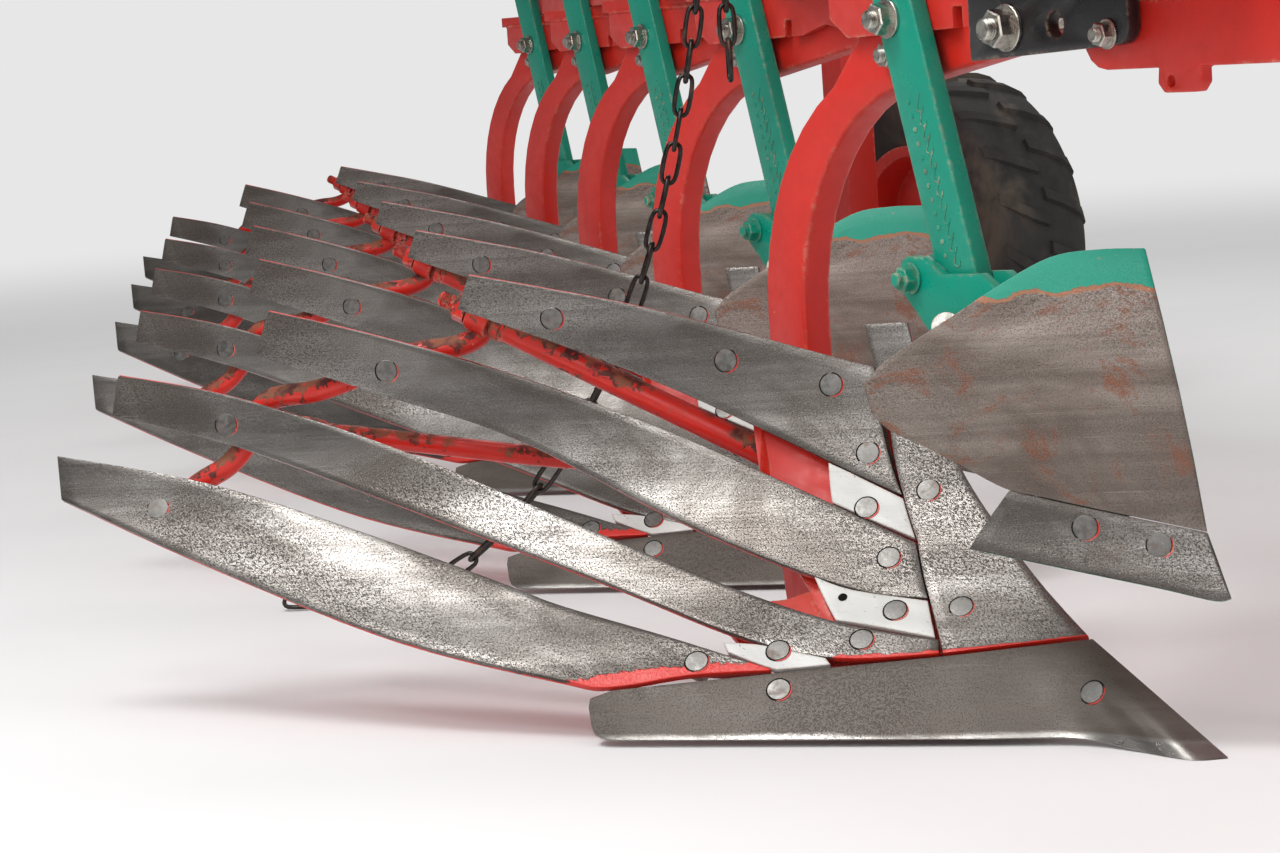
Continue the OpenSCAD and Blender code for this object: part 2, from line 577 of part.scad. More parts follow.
// depth wheel
post_x = wheel_x;
post_y = wheel_y - wheel_w/2 - 70 - post_a/2;
sleeve_a = post_a + 2 * (slide_c + sleeve_wall);
sleeve_z0 = 720;
sleeve_z1 = 1240;
axle_z = wheel_d / 2;
post_top = 930;
hub_r = 45;
hub_half = 60;
module wheel_bracket() color(RED) {
    difference() {
        translate([post_x - 50, beam_p[1], beam_p[2] - 50]) cube([100, post_y - sleeve_a/2 - beam_p[1] + 1, 100]);
        translate([post_x - 42, beam_p[1] - 1, beam_p[2] - 42]) cube([84, post_y - sleeve_a/2 - beam_p[1] + 1, 84]);
        on_beam() translate([-1500, -beam_a/2, -300]) cube([9000, 3000, 600]);
    }
    translate([post_x, post_y, sleeve_z0]) difference() {
        translate([-sleeve_a/2, -sleeve_a/2, 0]) cube([sleeve_a, sleeve_a, sleeve_z1 - sleeve_z0 + plate_t]);
        translate([-post_a/2 - slide_c, -post_a/2 - slide_c, -1])
            cube([post_a + 2*slide_c, post_a + 2*slide_c, sleeve_z1 - sleeve_z0 + 1]);
    }
    // rib between arm and sleeve
    translate([post_x - 6, 0, 0]) rotate([90, 0, 90]) linear_extrude(12) polygon([[post_y - sleeve_a/2 + 1, beam_p[2] + 49],
        [post_y - sleeve_a/2 - 160, beam_p[2] + 49], [post_y - sleeve_a/2 + 1, beam_p[2] + 240]]);
}
module wheel_post() color(RED) {
    difference() {
        translate([post_x - post_a/2, post_y - post_a/2, axle_z - 60]) cube([post_a, post_a, post_top - axle_z + 60]);
        translate([post_x - post_a/2 + 8, post_y - post_a/2 + 8, axle_z + 60]) cube([post_a - 16, post_a - 16, post_top - axle_z]);
    }
    along_y(post_x, axle_z, post_y + post_a/2 - 1, wheel_y + hub_half + seat, axle_d);
    along_y(post_x, axle_z, wheel_y + hub_half + seat, wheel_y + hub_half + 14, 62);
    along_y(post_x, axle_z, post_y + post_a/2 - 1, wheel_y - hub_half - seat, 62);
}
crank_r = 110;
module wheel_crank() color(STEEL) translate([post_x, post_y, sleeve_z1 + plate_t + seat]) {
    cylinder(d = 28, h = 34);
    translate([-crank_r, -9, 24]) cube([crank_r + 9, 18, 10]);
    translate([-crank_r, 0, 20]) cylinder(d = 20, h = 70);
}
bead_r = 165;
rim_wall = 5;
disc_half = 6;
// rim in section, columns: radius, offset from the wheel's middle plane
rim_half = [[hub_r,hub_half], [hub_r,disc_half], [bead_r - rim_wall,disc_half], [bead_r - rim_wall,70],
    [bead_r + 14,78], [bead_r + 14,72], [bead_r,64]];
module wheel_rim() color(RED) translate([post_x, wheel_y, axle_z]) rotate([90, 0, 0]) difference() {
    rotate_extrude() polygon(concat([[axle_d/2 + seat, hub_half]], rim_half,
        [for (i = [len(rim_half)-1:-1:0]) [rim_half[i][0], -rim_half[i][1]]], [[axle_d/2 + seat, -hub_half]]));
    for (a = [0:60:300]) rotate([0, 0, a]) translate([105, 0, -20]) cylinder(d = 38, h = 40);
}
tyre_half = [[bead_r + seat,62], [235,wheel_w/2], [wheel_d/2 - 10,wheel_w/2 - 14]];
module wheel_tyre() color(DARK) translate([post_x, wheel_y, axle_z]) rotate([90, 0, 0]) rotate_extrude()
    polygon(concat(tyre_half, [[wheel_d/2, 0]], [for (i = [2:-1:0]) [tyre_half[i][0], -tyre_half[i][1]]]));

// stand
stand_sleeve_a = stand_a + 2 * (slide_c + sleeve_wall);
stand_y = cross_left + stand_sleeve_a/2 + seat;
stand_top = beam_top + 130;
module stand_sleeve() color(RED) translate([cross_x, stand_y, beam_p[2] - 110]) difference() {
    translate([-stand_sleeve_a/2, -stand_sleeve_a/2, 0]) cube([stand_sleeve_a, stand_sleeve_a, 220]);
    translate([-stand_a/2 - slide_c, -stand_a/2 - slide_c, -1]) cube([stand_a + 2*slide_c, stand_a + 2*slide_c, 222]);
}
module stand_leg() color(RED) translate([cross_x, stand_y, 0]) {
    difference() {
        translate([-stand_a/2, -stand_a/2, 10]) cube([stand_a, stand_a, stand_top - 10]);
        translate([-stand_a/2 + 6, -stand_a/2 + 6, 40]) cube([stand_a - 12, stand_a - 12, stand_top]);
        for (i = [0:5]) along_y(0, 180 + i * hole_pitch, -stand_a, stand_a, 18);
    }
    difference() {
        translate([-foot_a/2, -foot_a/2, 0]) cube([foot_a, foot_a, 12]);
        for (sx = [-1, 1]) for (sy = [-1, 1]) translate([sx * foot_a/2, sy * foot_a/2, -1]) rotate([0, 0, 45])
            translate([-20, -20, 0]) cube([40, 40, 14]);
    }
}

// chain hung over a short bar on the beam, its tail lying on the floor
hang = [-1180, 212, 748];
hook_d = 10;
chain_az = -132;
floor_az = -125;
land = 22;
strand_gap = 34;
link_s = link_pitch - 2.4;
link_mid = (link_w - wire_d) / 2;
link_half = (link_pitch + wire_d) / 2 - link_mid;
function chain_tilt(i) = i >= land ? 90 : 11 + 0.4 * i + 0.1 * i * i + 5 * max(0, i - 18);
function chain_dir(i) = let(t = chain_tilt(i), a = i >= land ? floor_az : chain_az) [cos(a) * sin(t), sin(a) * sin(t), -cos(t)];
function chain_at(i) = i == 0 ? hang : chain_at(i - 1) + (chain_dir(i - 1) + chain_dir(i)) * link_s / 2;
function link_turn(d, i, roll) = let(e = unit(beam_right - d * (beam_right * d)), f = cross(d, e), a = 90 * i + roll)
    cos(a) * e + sin(a) * f;
// centre line of one link in its own plane
link_path = [for (s = [0, 1]) for (i = [0:4]) let(a = 180 * s + 45 * i)
    [link_mid * cos(a), link_half * (s == 0 ? 1 : -1) + link_mid * sin(a)]];
module chain_link(p, d, nrm) {
    w = cross(d, nrm);
    n = 5;
    m = len(link_path);
    c = [for (q = link_path) p + q[0] * w + q[1] * d];
    pts = [for (i = [0:m-1]) let(t = unit(c[(i+1) % m] - c[(i+m-1) % m]), a = cross(t, nrm))
        for (j = [0:n-1]) c[i] + wire_d / 2 * (cos(72 * j) * a + sin(72 * j) * nrm)];
    polyhedron(pts, [for (i = [0:m-1]) for (j = [0:n-1]) let(k = (j + 1) % n, e = (i + 1) % m) each [
        [i*n + j, i*n + k, e*n + k], [i*n + j, e*n + k, e*n + j]]], convexity = 6);
}
module drag_chain() color(DARK) {
    for (i = [0:link_count-1])
        chain_link(chain_at(i), chain_dir(i), link_turn(chain_dir(i), i, 45 * min(1, i / land)));
    for (i = [0:2])
        chain_link(hang - beam_right * strand_gap - [0, 0, i * link_s], [0, 0, -1], link_turn([0, 0, -1], i, 0));
}
hook_z = hang[2] + link_pitch/2 - hook_d/2 - 6 * seat;
hook_reach = (hang - beam_p) * beam_right - beam_a/2;
knob_d = 26;
module chain_hook() color(RED) {
    tip = [hang[0], hang[1], hook_z];
    heel = tip - beam_right * (strand_gap + 22);
    rod(tip + beam_right * 12, heel, hook_d);
    rod(tip + beam_right * 8, tip + beam_right * 14, knob_d);
    difference() {
        rod(heel + beam_right * 6, heel - beam_right * hook_reach + [0, 0, 40], 16);
        on_beam() translate([-3000, -3000, -300]) cube([9000, 3000 + beam_a/2 + seat, 600]);
    }
}

module legs() lifted() each_bottom() leg_one();
module frogs() lifted() each_bottom() frog_one();
module fillers() lifted() each_bottom() fillers_one();
module landsides() lifted() each_bottom() landside_one();
module shins() lifted() each_bottom() shin_one();
module cheek_plates() lifted() each_bottom() cheeks_one();
module adjusting_rods() lifted() each_bottom() rods_one();
module tail_brackets() lifted() each_bottom() tail_one();
module lower_stays() lifted() each_bottom() lower_one();
module stem_holders() lifted() each_bottom() holder_one();
module skimmer_stems() lifted() each_bottom() stem_one();
module skimmer_brackets() lifted() each_bottom() bracket_one();
module skimmer_boards() lifted() each_bottom() skimmer_one();
module skimmer_shares() lifted() each_bottom() skim_share_one();

// the origin is the centre of the footprint
x_hi = pin_x + boss_r;
x_lo = min([for (p = strip_grid(0, slat_rows[3], slat_t, 4, 0, 4)[len(slat_rows[3]) - 1]) p[0]]) + (bottom_count - 1) * step[0];
y_lo = min([for (p = strip_grid(0, slat_rows[3], 0, 4, 0, 4)[len(slat_rows[3]) - 1]) p[1]]);
y_hi = beam_p[1] + sin(beam_yaw) * (beam_rear + plate_t - 1) - cos(beam_yaw) * (beam_a / 2 + 4);
shift = [-(x_hi + x_lo) / 2, -(y_hi + y_lo) / 2, 0];
echo(shift = shift, hitch = [pin_x, hitch_y, pin_z] + shift, top = [top_x, hitch_y, pin_rest] + shift,
    axle = [post_x, wheel_y, axle_z] + shift, stand = [cross_x, stand_y, 0] + shift, floor_link = chain_at(land));

place() main_beam();
place() cross_beam();
place() brace_tube();
place() gusset_plates();
place() mast_plates();
place() mast_stays();
place() drop_plates();
place() hitch_shaft();
place() furrow_plate();
place() furrow_arm();
place() cheek_plates();
place() legs();
place() fillers();
place() frogs();
place() landsides();
place() shins();
place() lifted() bottom(0) share_one();  // share_1
place() lifted() bottom(1) share_one();  // share_2
place() lifted() bottom(2) share_one();  // share_3
place() lifted() bottom(3) share_one();  // share_4
place() lifted() bottom(4) share_one();  // share_5
place() lifted() bottom(0) slats_one();  // slats_1
place() lifted() bottom(1) slats_one();  // slats_2
place() lifted() bottom(2) slats_one();  // slats_3
place() lifted() bottom(3) slats_one();  // slats_4
place() lifted() bottom(4) slats_one();  // slats_5
place() adjusting_rods();
place() tail_brackets();
place() lower_stays();
place() stem_holders();
place() skimmer_stems();
place() skimmer_brackets();
place() skimmer_shares();
place() skimmer_boards();
place() wheel_bracket();
place() wheel_post();
place() wheel_crank();
place() wheel_rim();
place() wheel_tyre();
place() stand_sleeve();
place() stand_leg();
place() chain_hook();
place() drag_chain();
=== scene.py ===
"""Looks of a mounted moldboard plough: worn boards, painted frame, bolts, chain and wheel."""

import bisect
import json
import math

import bmesh
import bpy
from mathutils import Matrix, Vector

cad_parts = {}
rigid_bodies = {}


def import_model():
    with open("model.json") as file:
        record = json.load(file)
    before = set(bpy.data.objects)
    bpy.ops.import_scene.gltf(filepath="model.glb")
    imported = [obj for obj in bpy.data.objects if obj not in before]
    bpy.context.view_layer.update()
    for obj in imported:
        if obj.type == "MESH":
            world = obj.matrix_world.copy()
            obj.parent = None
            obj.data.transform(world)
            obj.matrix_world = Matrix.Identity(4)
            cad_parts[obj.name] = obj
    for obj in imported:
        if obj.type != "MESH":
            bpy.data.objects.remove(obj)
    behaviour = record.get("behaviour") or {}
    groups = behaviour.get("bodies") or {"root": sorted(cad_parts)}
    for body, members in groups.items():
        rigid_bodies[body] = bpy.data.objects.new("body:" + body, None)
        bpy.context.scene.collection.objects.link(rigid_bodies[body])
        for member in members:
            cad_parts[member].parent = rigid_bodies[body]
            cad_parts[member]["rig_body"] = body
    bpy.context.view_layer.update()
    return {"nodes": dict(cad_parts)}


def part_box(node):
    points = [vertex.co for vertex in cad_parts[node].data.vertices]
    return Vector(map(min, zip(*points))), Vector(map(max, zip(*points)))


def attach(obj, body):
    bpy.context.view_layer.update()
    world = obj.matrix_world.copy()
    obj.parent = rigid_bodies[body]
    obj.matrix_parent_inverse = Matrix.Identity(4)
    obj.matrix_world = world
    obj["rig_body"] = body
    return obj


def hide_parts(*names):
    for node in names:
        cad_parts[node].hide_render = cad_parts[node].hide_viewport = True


bl_info = {
    "name": "Moldboard plough",
    "version": (1, 0, 0),
    "blender": (4, 5, 0),
    "location": "View3D > Sidebar > Plough",
    "description": "Dresses the plough's solids with worn steel, paint, bolts, welds and a stage",
    "category": "Add Mesh",
}

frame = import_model()
NODES = frame["nodes"]
MM = 0.001
BOTTOMS = 5
STEP = Vector((-900, 400, 0))
SHAFT_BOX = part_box("hitch_shaft")
# middle of the hitch shaft, from the share nose of the first bottom
HITCH_X, HITCH_Y = 540, 300
# that share nose in the frame of the solids, millimetres
NOSE = Vector((
    (SHAFT_BOX[0].x + SHAFT_BOX[1].x) / 2 / MM - HITCH_X,
    (SHAFT_BOX[0].y + SHAFT_BOX[1].y) / 2 / MM - HITCH_Y,
    8,
))

# profile of the board at the landside: height, setback
SHIN_LINE = (
    (0, -80), (40, -135), (80, -195), (120, -260), (165, -320), (220, -382), (280, -428),
    (340, -458), (400, -478), (460, -488), (520, -492),
)
SKIM_LINE = ((120, 8), (140, -2), (200, -32), (285, -50), (385, -77), (460, -100), (500, -112))
EDGE_DIR = Vector((-0.797, -0.604, 0))
# right faces and left faces of what the fasteners sit on, from the landside
STEM_FACE, LEG_FACE, LEG_LEFT, CHEEK_FACE = -77.6, -45, -10, -57.3
# bolt through a skimmer bracket's ear: x, z
EAR, EAR_FACE, EAR_LEFT = (-339, 437), -87.9, -47.3
# bolts of a leg: x, z
STEM_BOLT, LEG_BOLT, CHEEK_BOLT = (-368, 691), (-408, 655), (-112, 686)
FROG_LEG_BOLTS = ((-650, 250), (-640, 305))
# landside: x of its bolts, their height, its right face
LANDSIDE_BOLTS, LANDSIDE_Z, LANDSIDE_FACE = (-620, -480, -370), 60, -11.9
# centre line of a skimmer stem, and the marks pressed into it
STEM_FOOT, STEM_SLOPE = (-276, 432), 0.31
MARK_FOOT, MARK_STEP, MARK_COUNT = 458, 13.6, 12
WHEEL = (-2450, 1490, 300)
WHEEL_NUTS, NUT_CIRCLE = 6, 72
TYRE_RADIUS, TYRE_STEPS = 290.5, 96
# half of the tyre's section, bead to middle: radius, width
TYRE_HALF = (
    (168, 60), (176, 74), (190, 84), (214, 92), (240, 95), (262, 92), (278, 84), (284, 79), (287.5, 70),
    (289.5, 45), (290.5, 20), (291, 0),
)
POST_Y = 1295
CRANK_Z = 1252.3
BEAM_TOP = 900
BEAM_REAR = 4269.5
BEAM_START = Vector((-400, 45, 0))
BEAM_DIR = Vector((-900, 400, 0)).normalized()
BEAM_SIDE = Vector((-BEAM_DIR.y, BEAM_DIR.x, 0))
STAY_FEET = ((-1300, 445, 900), (-700, 690, 880))
STAND_SIDE = 760.3
STAND_PIN = (130, 831.6, 780)
# right and left faces of the dark plate
PLATE_FACE, PLATE_BACK = -112, -98
# gusset plates: their thickness over the beams, and the places of their bolts
GUSSET_T = 12.3
GUSSET_BOLTS = ((90, -60), (150, -20), (150, 80), (-110, 60), (-180, 30), (20, -130))
REAR_GUSSET_TOP = 892.3
REAR_GUSSET_BOLTS = ((28, 640), (28, 580), (-60, 690), (-110, 715))
# faces of the mast plates and of the drop plates, from the landside
MAST_SIDES, DROP_SIDES = (224, 240, 360, 376), (-113.5, -97.5, 697.5, 713.5)
# pin through the mast: x, z
MAST_PIN = (440, 1160)
# linch pins of the hitch shaft: how far from its middle, and their height
LINK_PIN_REACH, LINK_PIN_Z = 594.5, 568
# front face of the cross beam
CROSS_FACE = 200.5
# bolts of a bottom: t, z
FROG_BOLTS = ((100, 320), (90, 251), (135, 153), (229, 83), (48, 214), (101, 109), (123, 199), (170, 107))
SLAT_BACK_BOLTS = ((376, 402), (203, 349), (413, 67))
FACE_BOLTS = (
    (376, 402), (203, 349), (100, 320), (90, 251), (572, 355), (135, 153), (770, 306), (229, 83), (885, 222),
    (413, 67), (48, 214), (101, 109), (123, 199), (170, 107), (322, 75),
)
SHARE_BOLTS = ((347, 42), (50, 39))
HEAD_SPIN = -125
LINER_HOLE = (212, 119)
# corner cut off the frog's plate, in the gap between the middle slats: t low, z low, t high, z high
FROG_CORNER = ((236, 133, 232, 206), (262, 127, 262, 206), (330, 120, 330, 206))
SKIM_BOLTS = ((111, 207), (47, 189))
# bolts that clamp the skimmer's board to its bracket: t, z and how deep they stand
CLAMP_BOLT, CLAMP_DEPTHS = (203, 400), (14, 30)

# upper joint of the share: distance from the landside, height
SHARE_JOINT = ((0, 83), (160, 70), (340, 58), (520, 46), (550, 39))
# joint between shin and slats: height, distance from the landside
SHIN_JOINT = ((60, 162), (70, 160), (115, 127), (168, 94), (210, 77), (280, 54), (335, 48), (400, 47))
GAP = 1.0
# strips of the board, root to tail: t low, z low, t high, z high
SLATS = (
    ((0, 210, 0, 336), (120, 235, 100, 352), (210, 290, 200, 385), (300, 338, 290, 412), (385, 378, 375, 433),
     (475, 417, 455, 452)),
    ((0, 117, 0, 166), (200, 128, 190, 224), (310, 182, 300, 284), (455, 276, 440, 346), (588, 330, 570, 392),
     (709, 379, 680, 425)),
    ((0, 0, 0, 82), (267, 68, 244, 100), (342, 85, 335, 138), (450, 139, 430, 188), (617, 216, 600, 276),
     (775, 284, 755, 336), (893, 322, 869, 364)),
    ((345, 0, 344, 60), (430, 56, 420, 88), (520, 0, 509, 118), (566, 54, 556, 140), (704, 92, 680, 194),
     (850, 160, 820, 246), (989, 235, 973, 281)),
)
FILLERS = (
    ((0, 170, 0, 207), (126, 188, 119, 233), (155, 205, 136, 243)),
    ((154, 84, 129, 115), (200, 93.5, 196, 125.6), (238, 100, 225, 138)),
    ((280, 0, 280, 68.5), (305, 0, 305, 74), (338, 0, 338, 81), (374, 75, 371, 83)),
)
SLAT_T, SHIN_T, SHARE_T, SKIM_T, FROG_BACK = 8, 10, 12, 7, 30.6
# lowest point of a share, and the radius of its wing corner
SHARE_LIP, WING_CORNER = -8, 34
# shin piece: its width at the share, then z at the landside, z at the joint
SHIN_W = 162
SHIN_ROWS = ((0, 0), (122, 115), (166, 168), (222, 210), (280, 280), (335, 335), (380, 380))
# share: cutting edge x, y, z and the t of its upper joint
SHARE_ROWS = (
    (-520, -393, 0, 548), (-422, -306, 0, 430), (-310, -206, 0, 300), (-220, -125, 0, 190),
    (-150, -62, 0, 110), (-88, -41, -6, 60), (-46, -35, -8, 35), (-18, -26, -8, 16), (-4, -2, -7, 1),
)
# skimmer board and share, landside to wing: t low, z low, t high, z high
SKIM_ROWS = (
    (0, 200, 0, 462), (50, 212, 45, 463), (95, 223, 90, 458), (140, 235, 143, 435), (179, 246, 185, 413),
    (217, 270, 218, 396), (250, 290, 252, 378), (276, 305, 275, 364), (290, 322, 292, 348),
)
SKIM_SHARE_ROWS = ((0, 141, 0, 199.2), (16, 139, 20, 204), (60, 151, 60, 213.6), (112, 164, 115, 227.5),
                   (223, 192, 175, 244))
# bars behind the board: t, z and the depth of the centre line
ROD_DEPTH, ROD_R, THREAD_R = 52, 14, 9
ROD_FOOT, ROD_COLLAR, ROD_TIP = (178, 252), (448, 391), (504, 416)
TAIL_PATH = (
    (469, 388, 51), (474, 380, 50), (500, 372, 38), (545, 368, 28), (600, 352, 24), (660, 336, 24),
    (722, 327, 24), (752, 295, 24), (790, 268, 24), (830, 252, 24), (885, 226, 24),
)
TAIL_HOOK = (462, 398, 52)
TAIL_PADS, TAIL_PAD_BACK = ((560, 363), (745, 303), (872, 232)), 35
STAY_PATH = ((200, 225), (270, 256), (330, 263), (424, 269), (520, 279), (610, 289), (690, 297))
STAY_DEPTH = 60
# bolts of the lower stay: t, z and depth
STAY_BOLTS = ((200, 225, 70), (690, 297, 66))
# border of the green on a skimmer board: t, z
GREEN_BORDER = ((0, 424), (13, 428), (50, 430), (88, 425), (120, 429), (146, 421), (165, 424), (300, 470))
# stage: brightness of the backdrop, of the room's light and of what glossy steel mirrors of it
BACKDROP, ROOM_LIGHT, ROOM_GLINT = 0.80, 0.62, 0.16
# soft lamps: name, place from the first shin, width, watts
LAMPS = (
    ("key", Vector((-0.3, -1.52, 2.6)), 1.0, 44), ("shin", Vector((0.66, -2.05, 2.0)), 0.5, 12),
    ("skimmer", Vector((1.75, -2.1, 1.3)), 0.6, 9), ("side", Vector((2.4, 0.6, 2.6)), 1.4, 20),
    ("rear", Vector((-3.8, 2.6, 3.4)), 2.5, 45),
)
LAMP_TARGET = (-250, 0, 300)
CAMERA_PLACE, CAMERA_TURN = (2362.3, -2001.1, 689.1), (83.4224, 3.9738, 59.0228)


def between(a, b, u):
    return a + (b - a) * u


def lookup(x, table):
    """Straight lines between the rows of a table, level beyond its ends."""
    at = bisect.bisect_left(table, (x,))
    if at == 0:
        return table[0][1]
    if at == len(table):
        return table[-1][1]
    (x0, y0), (x1, y1) = table[at - 1], table[at]
    return between(y0, y1, (x - x0) / (x1 - x0))


def smooth_path(rows, parts=5):
    """A path through the rows, rounded between them; each row may be of any length."""
    out = []
    for i in range(len(rows) - 1):
        a, b = rows[max(0, i - 1)], rows[i]
        c, d = rows[i + 1], rows[min(len(rows) - 1, i + 2)]
        for k in range(parts):
            u = k / parts
            out.append(tuple(0.5 * (2 * q + (r - p) * u + (2 * p - 5 * q + 4 * r - s) * u * u
                                    + (3 * q - p - 3 * r + s) * u ** 3) for p, q, r, s in zip(a, b, c, d)))
    out.append(tuple(rows[-1]))
    return out


class Face:
    """A mouldboard face: a place on it is t along the slats from the landside and z up, in millimetres."""

    def __init__(self, line, angle, twist, curve, offset):
        self.line = tuple(smooth_path(line, 6))
        self.angle = angle
        self.twist = twist
        self.curve = math.radians(curve)
        self.offset = offset

    def start(self, z):
        """Angle of the face at the landside, at a height."""
        return math.radians(self.angle + self.twist * (max(0, z - 200) / 250) ** 2)

    def point(self, t, z):
        """The place on the face."""
        a = self.start(z)
        x = lookup(z, self.line) - (math.sin(a + self.curve * t) - math.sin(a)) / self.curve
        y = self.offset + (math.cos(a + self.curve * t) - math.cos(a)) / self.curve
        return Vector((x, y, z))

    def back(self, t, z):
        """The direction away from the face, on its rear side."""
        along = self.point(t + 4, z) - self.point(t - 4, z)
        up = self.point(t, z + 12) - self.point(t, z - 12)
        return along.cross(up).normalized()

    def behind(self, t, z, depth):
        """The place at a depth behind the face."""
        return self.point(t, z) + self.back(t, z) * depth

    def place(self, p):
        """t, z and depth of a point near the face."""
        t, z = 200.0, p.z
        off = 0.0
        for _ in range(3):
            a = self.start(z)
            c = max(-1, min(1, (p.y - self.back(t, z).y * off - self.offset) * self.curve + math.cos(a)))
            t = (math.acos(c) - a) / self.curve
            back = self.back(t, z)
            off = (p - self.point(t, z)).dot(back)
            z = p.z - back.z * off
        return t, z, off


BOARD = Face(SHIN_LINE, 41, 6, 0.008, 0)
SKIM = Face(SKIM_LINE, 43, 0, 0.03, 10)
# cutting edge of the share: t of the joint over it, point
SHARE_EDGE = tuple((row[3], Vector(row[:3])) for row in reversed(smooth_path(SHARE_ROWS, 10)))


def world(p, bottom=0):
    """A point of a bottom, in millimetres from its share nose, in the model's metres."""
    return (NOSE + STEP * bottom + Vector(p)) * MM


def local(p, bottom=0):
    """The way back from the model's metres to a bottom's millimetres."""
    return Vector(p) / MM - NOSE - STEP * bottom


def framed(p):
    """A point of the frame, its height over the floor, in the model's metres."""
    return (NOSE + Vector(p) - Vector((0, 0, NOSE.z))) * MM


class Finish:
    """Builds one material out of nodes; sockets are given by name, links by passing an output."""

    def __init__(self, name):
        self.material = bpy.data.materials.new(name)
        self.material.use_nodes = True
        self.tree = self.material.node_tree
        self.shader = self.tree.nodes["Principled BSDF"]
        self.coords = self.node("ShaderNodeTexCoord").outputs["Object"]

    def node(self, kind, inputs=None, **settings):
        made = self.tree.nodes.new(kind)
        for key, value in settings.items():
            setattr(made, key, value)
        for key, value in (inputs or {}).items():
            self.put(made.inputs[key], value)
        return made

    def put(self, socket, value):
        """Links an output to a socket, or sets its value."""
        if isinstance(value, bpy.types.NodeSocket):
            self.tree.links.new(value, socket)
        else:
            socket.default_value = value

    def stretched(self, vector, scale, turn=(0, 0, 0)):
        """Coordinates scaled on each axis and turned."""
        made = self.node("ShaderNodeMapping", {"Vector": vector, "Scale": scale, "Rotation": turn})
        return made.outputs["Vector"]

    def grain(self, vector, scale, detail=3.0, rough=0.55, warp=0.0):
        made = self.node("ShaderNodeTexNoise", {
            "Vector": vector, "Scale": scale, "Detail": detail, "Roughness": rough, "Distortion": warp})
        return made.outputs["Fac"]

    def step(self, value, low, high, to_low=0.0, to_high=1.0):
        """A soft step between two values."""
        made = self.node("ShaderNodeMapRange", {
            "Value": value, "From Min": low, "From Max": high, "To Min": to_low, "To Max": to_high},
            interpolation_type="SMOOTHSTEP")
        return made.outputs["Result"]

    def sum(self, kind, a, b, clamp=False):
        made = self.node("ShaderNodeMath", {0: a, 1: b}, operation=kind)
        made.use_clamp = clamp
        return made.outputs[0]

    def mix(self, factor, a, b, blend="MIX"):
        """Two colours mixed."""
        made = self.node("ShaderNodeMix", data_type="RGBA", blend_type=blend)
        self.put(made.inputs[0], factor)
        self.put(made.inputs[6], a)
        self.put(made.inputs[7], b)
        return made.outputs[2]

    def blend(self, factor, a, b):
        """Two numbers mixed."""
        made = self.node("ShaderNodeMix", data_type="FLOAT")
        self.put(made.inputs[0], factor)
        self.put(made.inputs[2], a)
        self.put(made.inputs[3], b)
        return made.outputs[0]

    def worn_edge(self, radius):
        """1 on sharp edges, 0 on flat faces."""
        bevel = self.node("ShaderNodeBevel", {"Radius": radius}, samples=3)
        normal = self.node("ShaderNodeNewGeometry").outputs["Normal"]
        dot = self.node("ShaderNodeVectorMath", {0: bevel.outputs[0], 1: normal}, operation="DOT_PRODUCT")
        return self.step(dot.outputs["Value"], 0.995, 0.9)

    def bump(self, height, strength, distance):
        made = self.node("ShaderNodeBump", {"Height": height, "Strength": strength, "Distance": distance})
        return made.outputs["Normal"]

    def finish(self, **sockets):
        """Sets the shader's sockets, named with _ for spaces, and gives the material."""
        for key, value in sockets.items():
            self.put(self.shader.inputs[key.replace("_", " ")], value)
        return self.material


def grey(v, alpha=1.0):
    return (v, v, v, alpha)


def tint(colour):
    return (*colour[:3], 1.0)


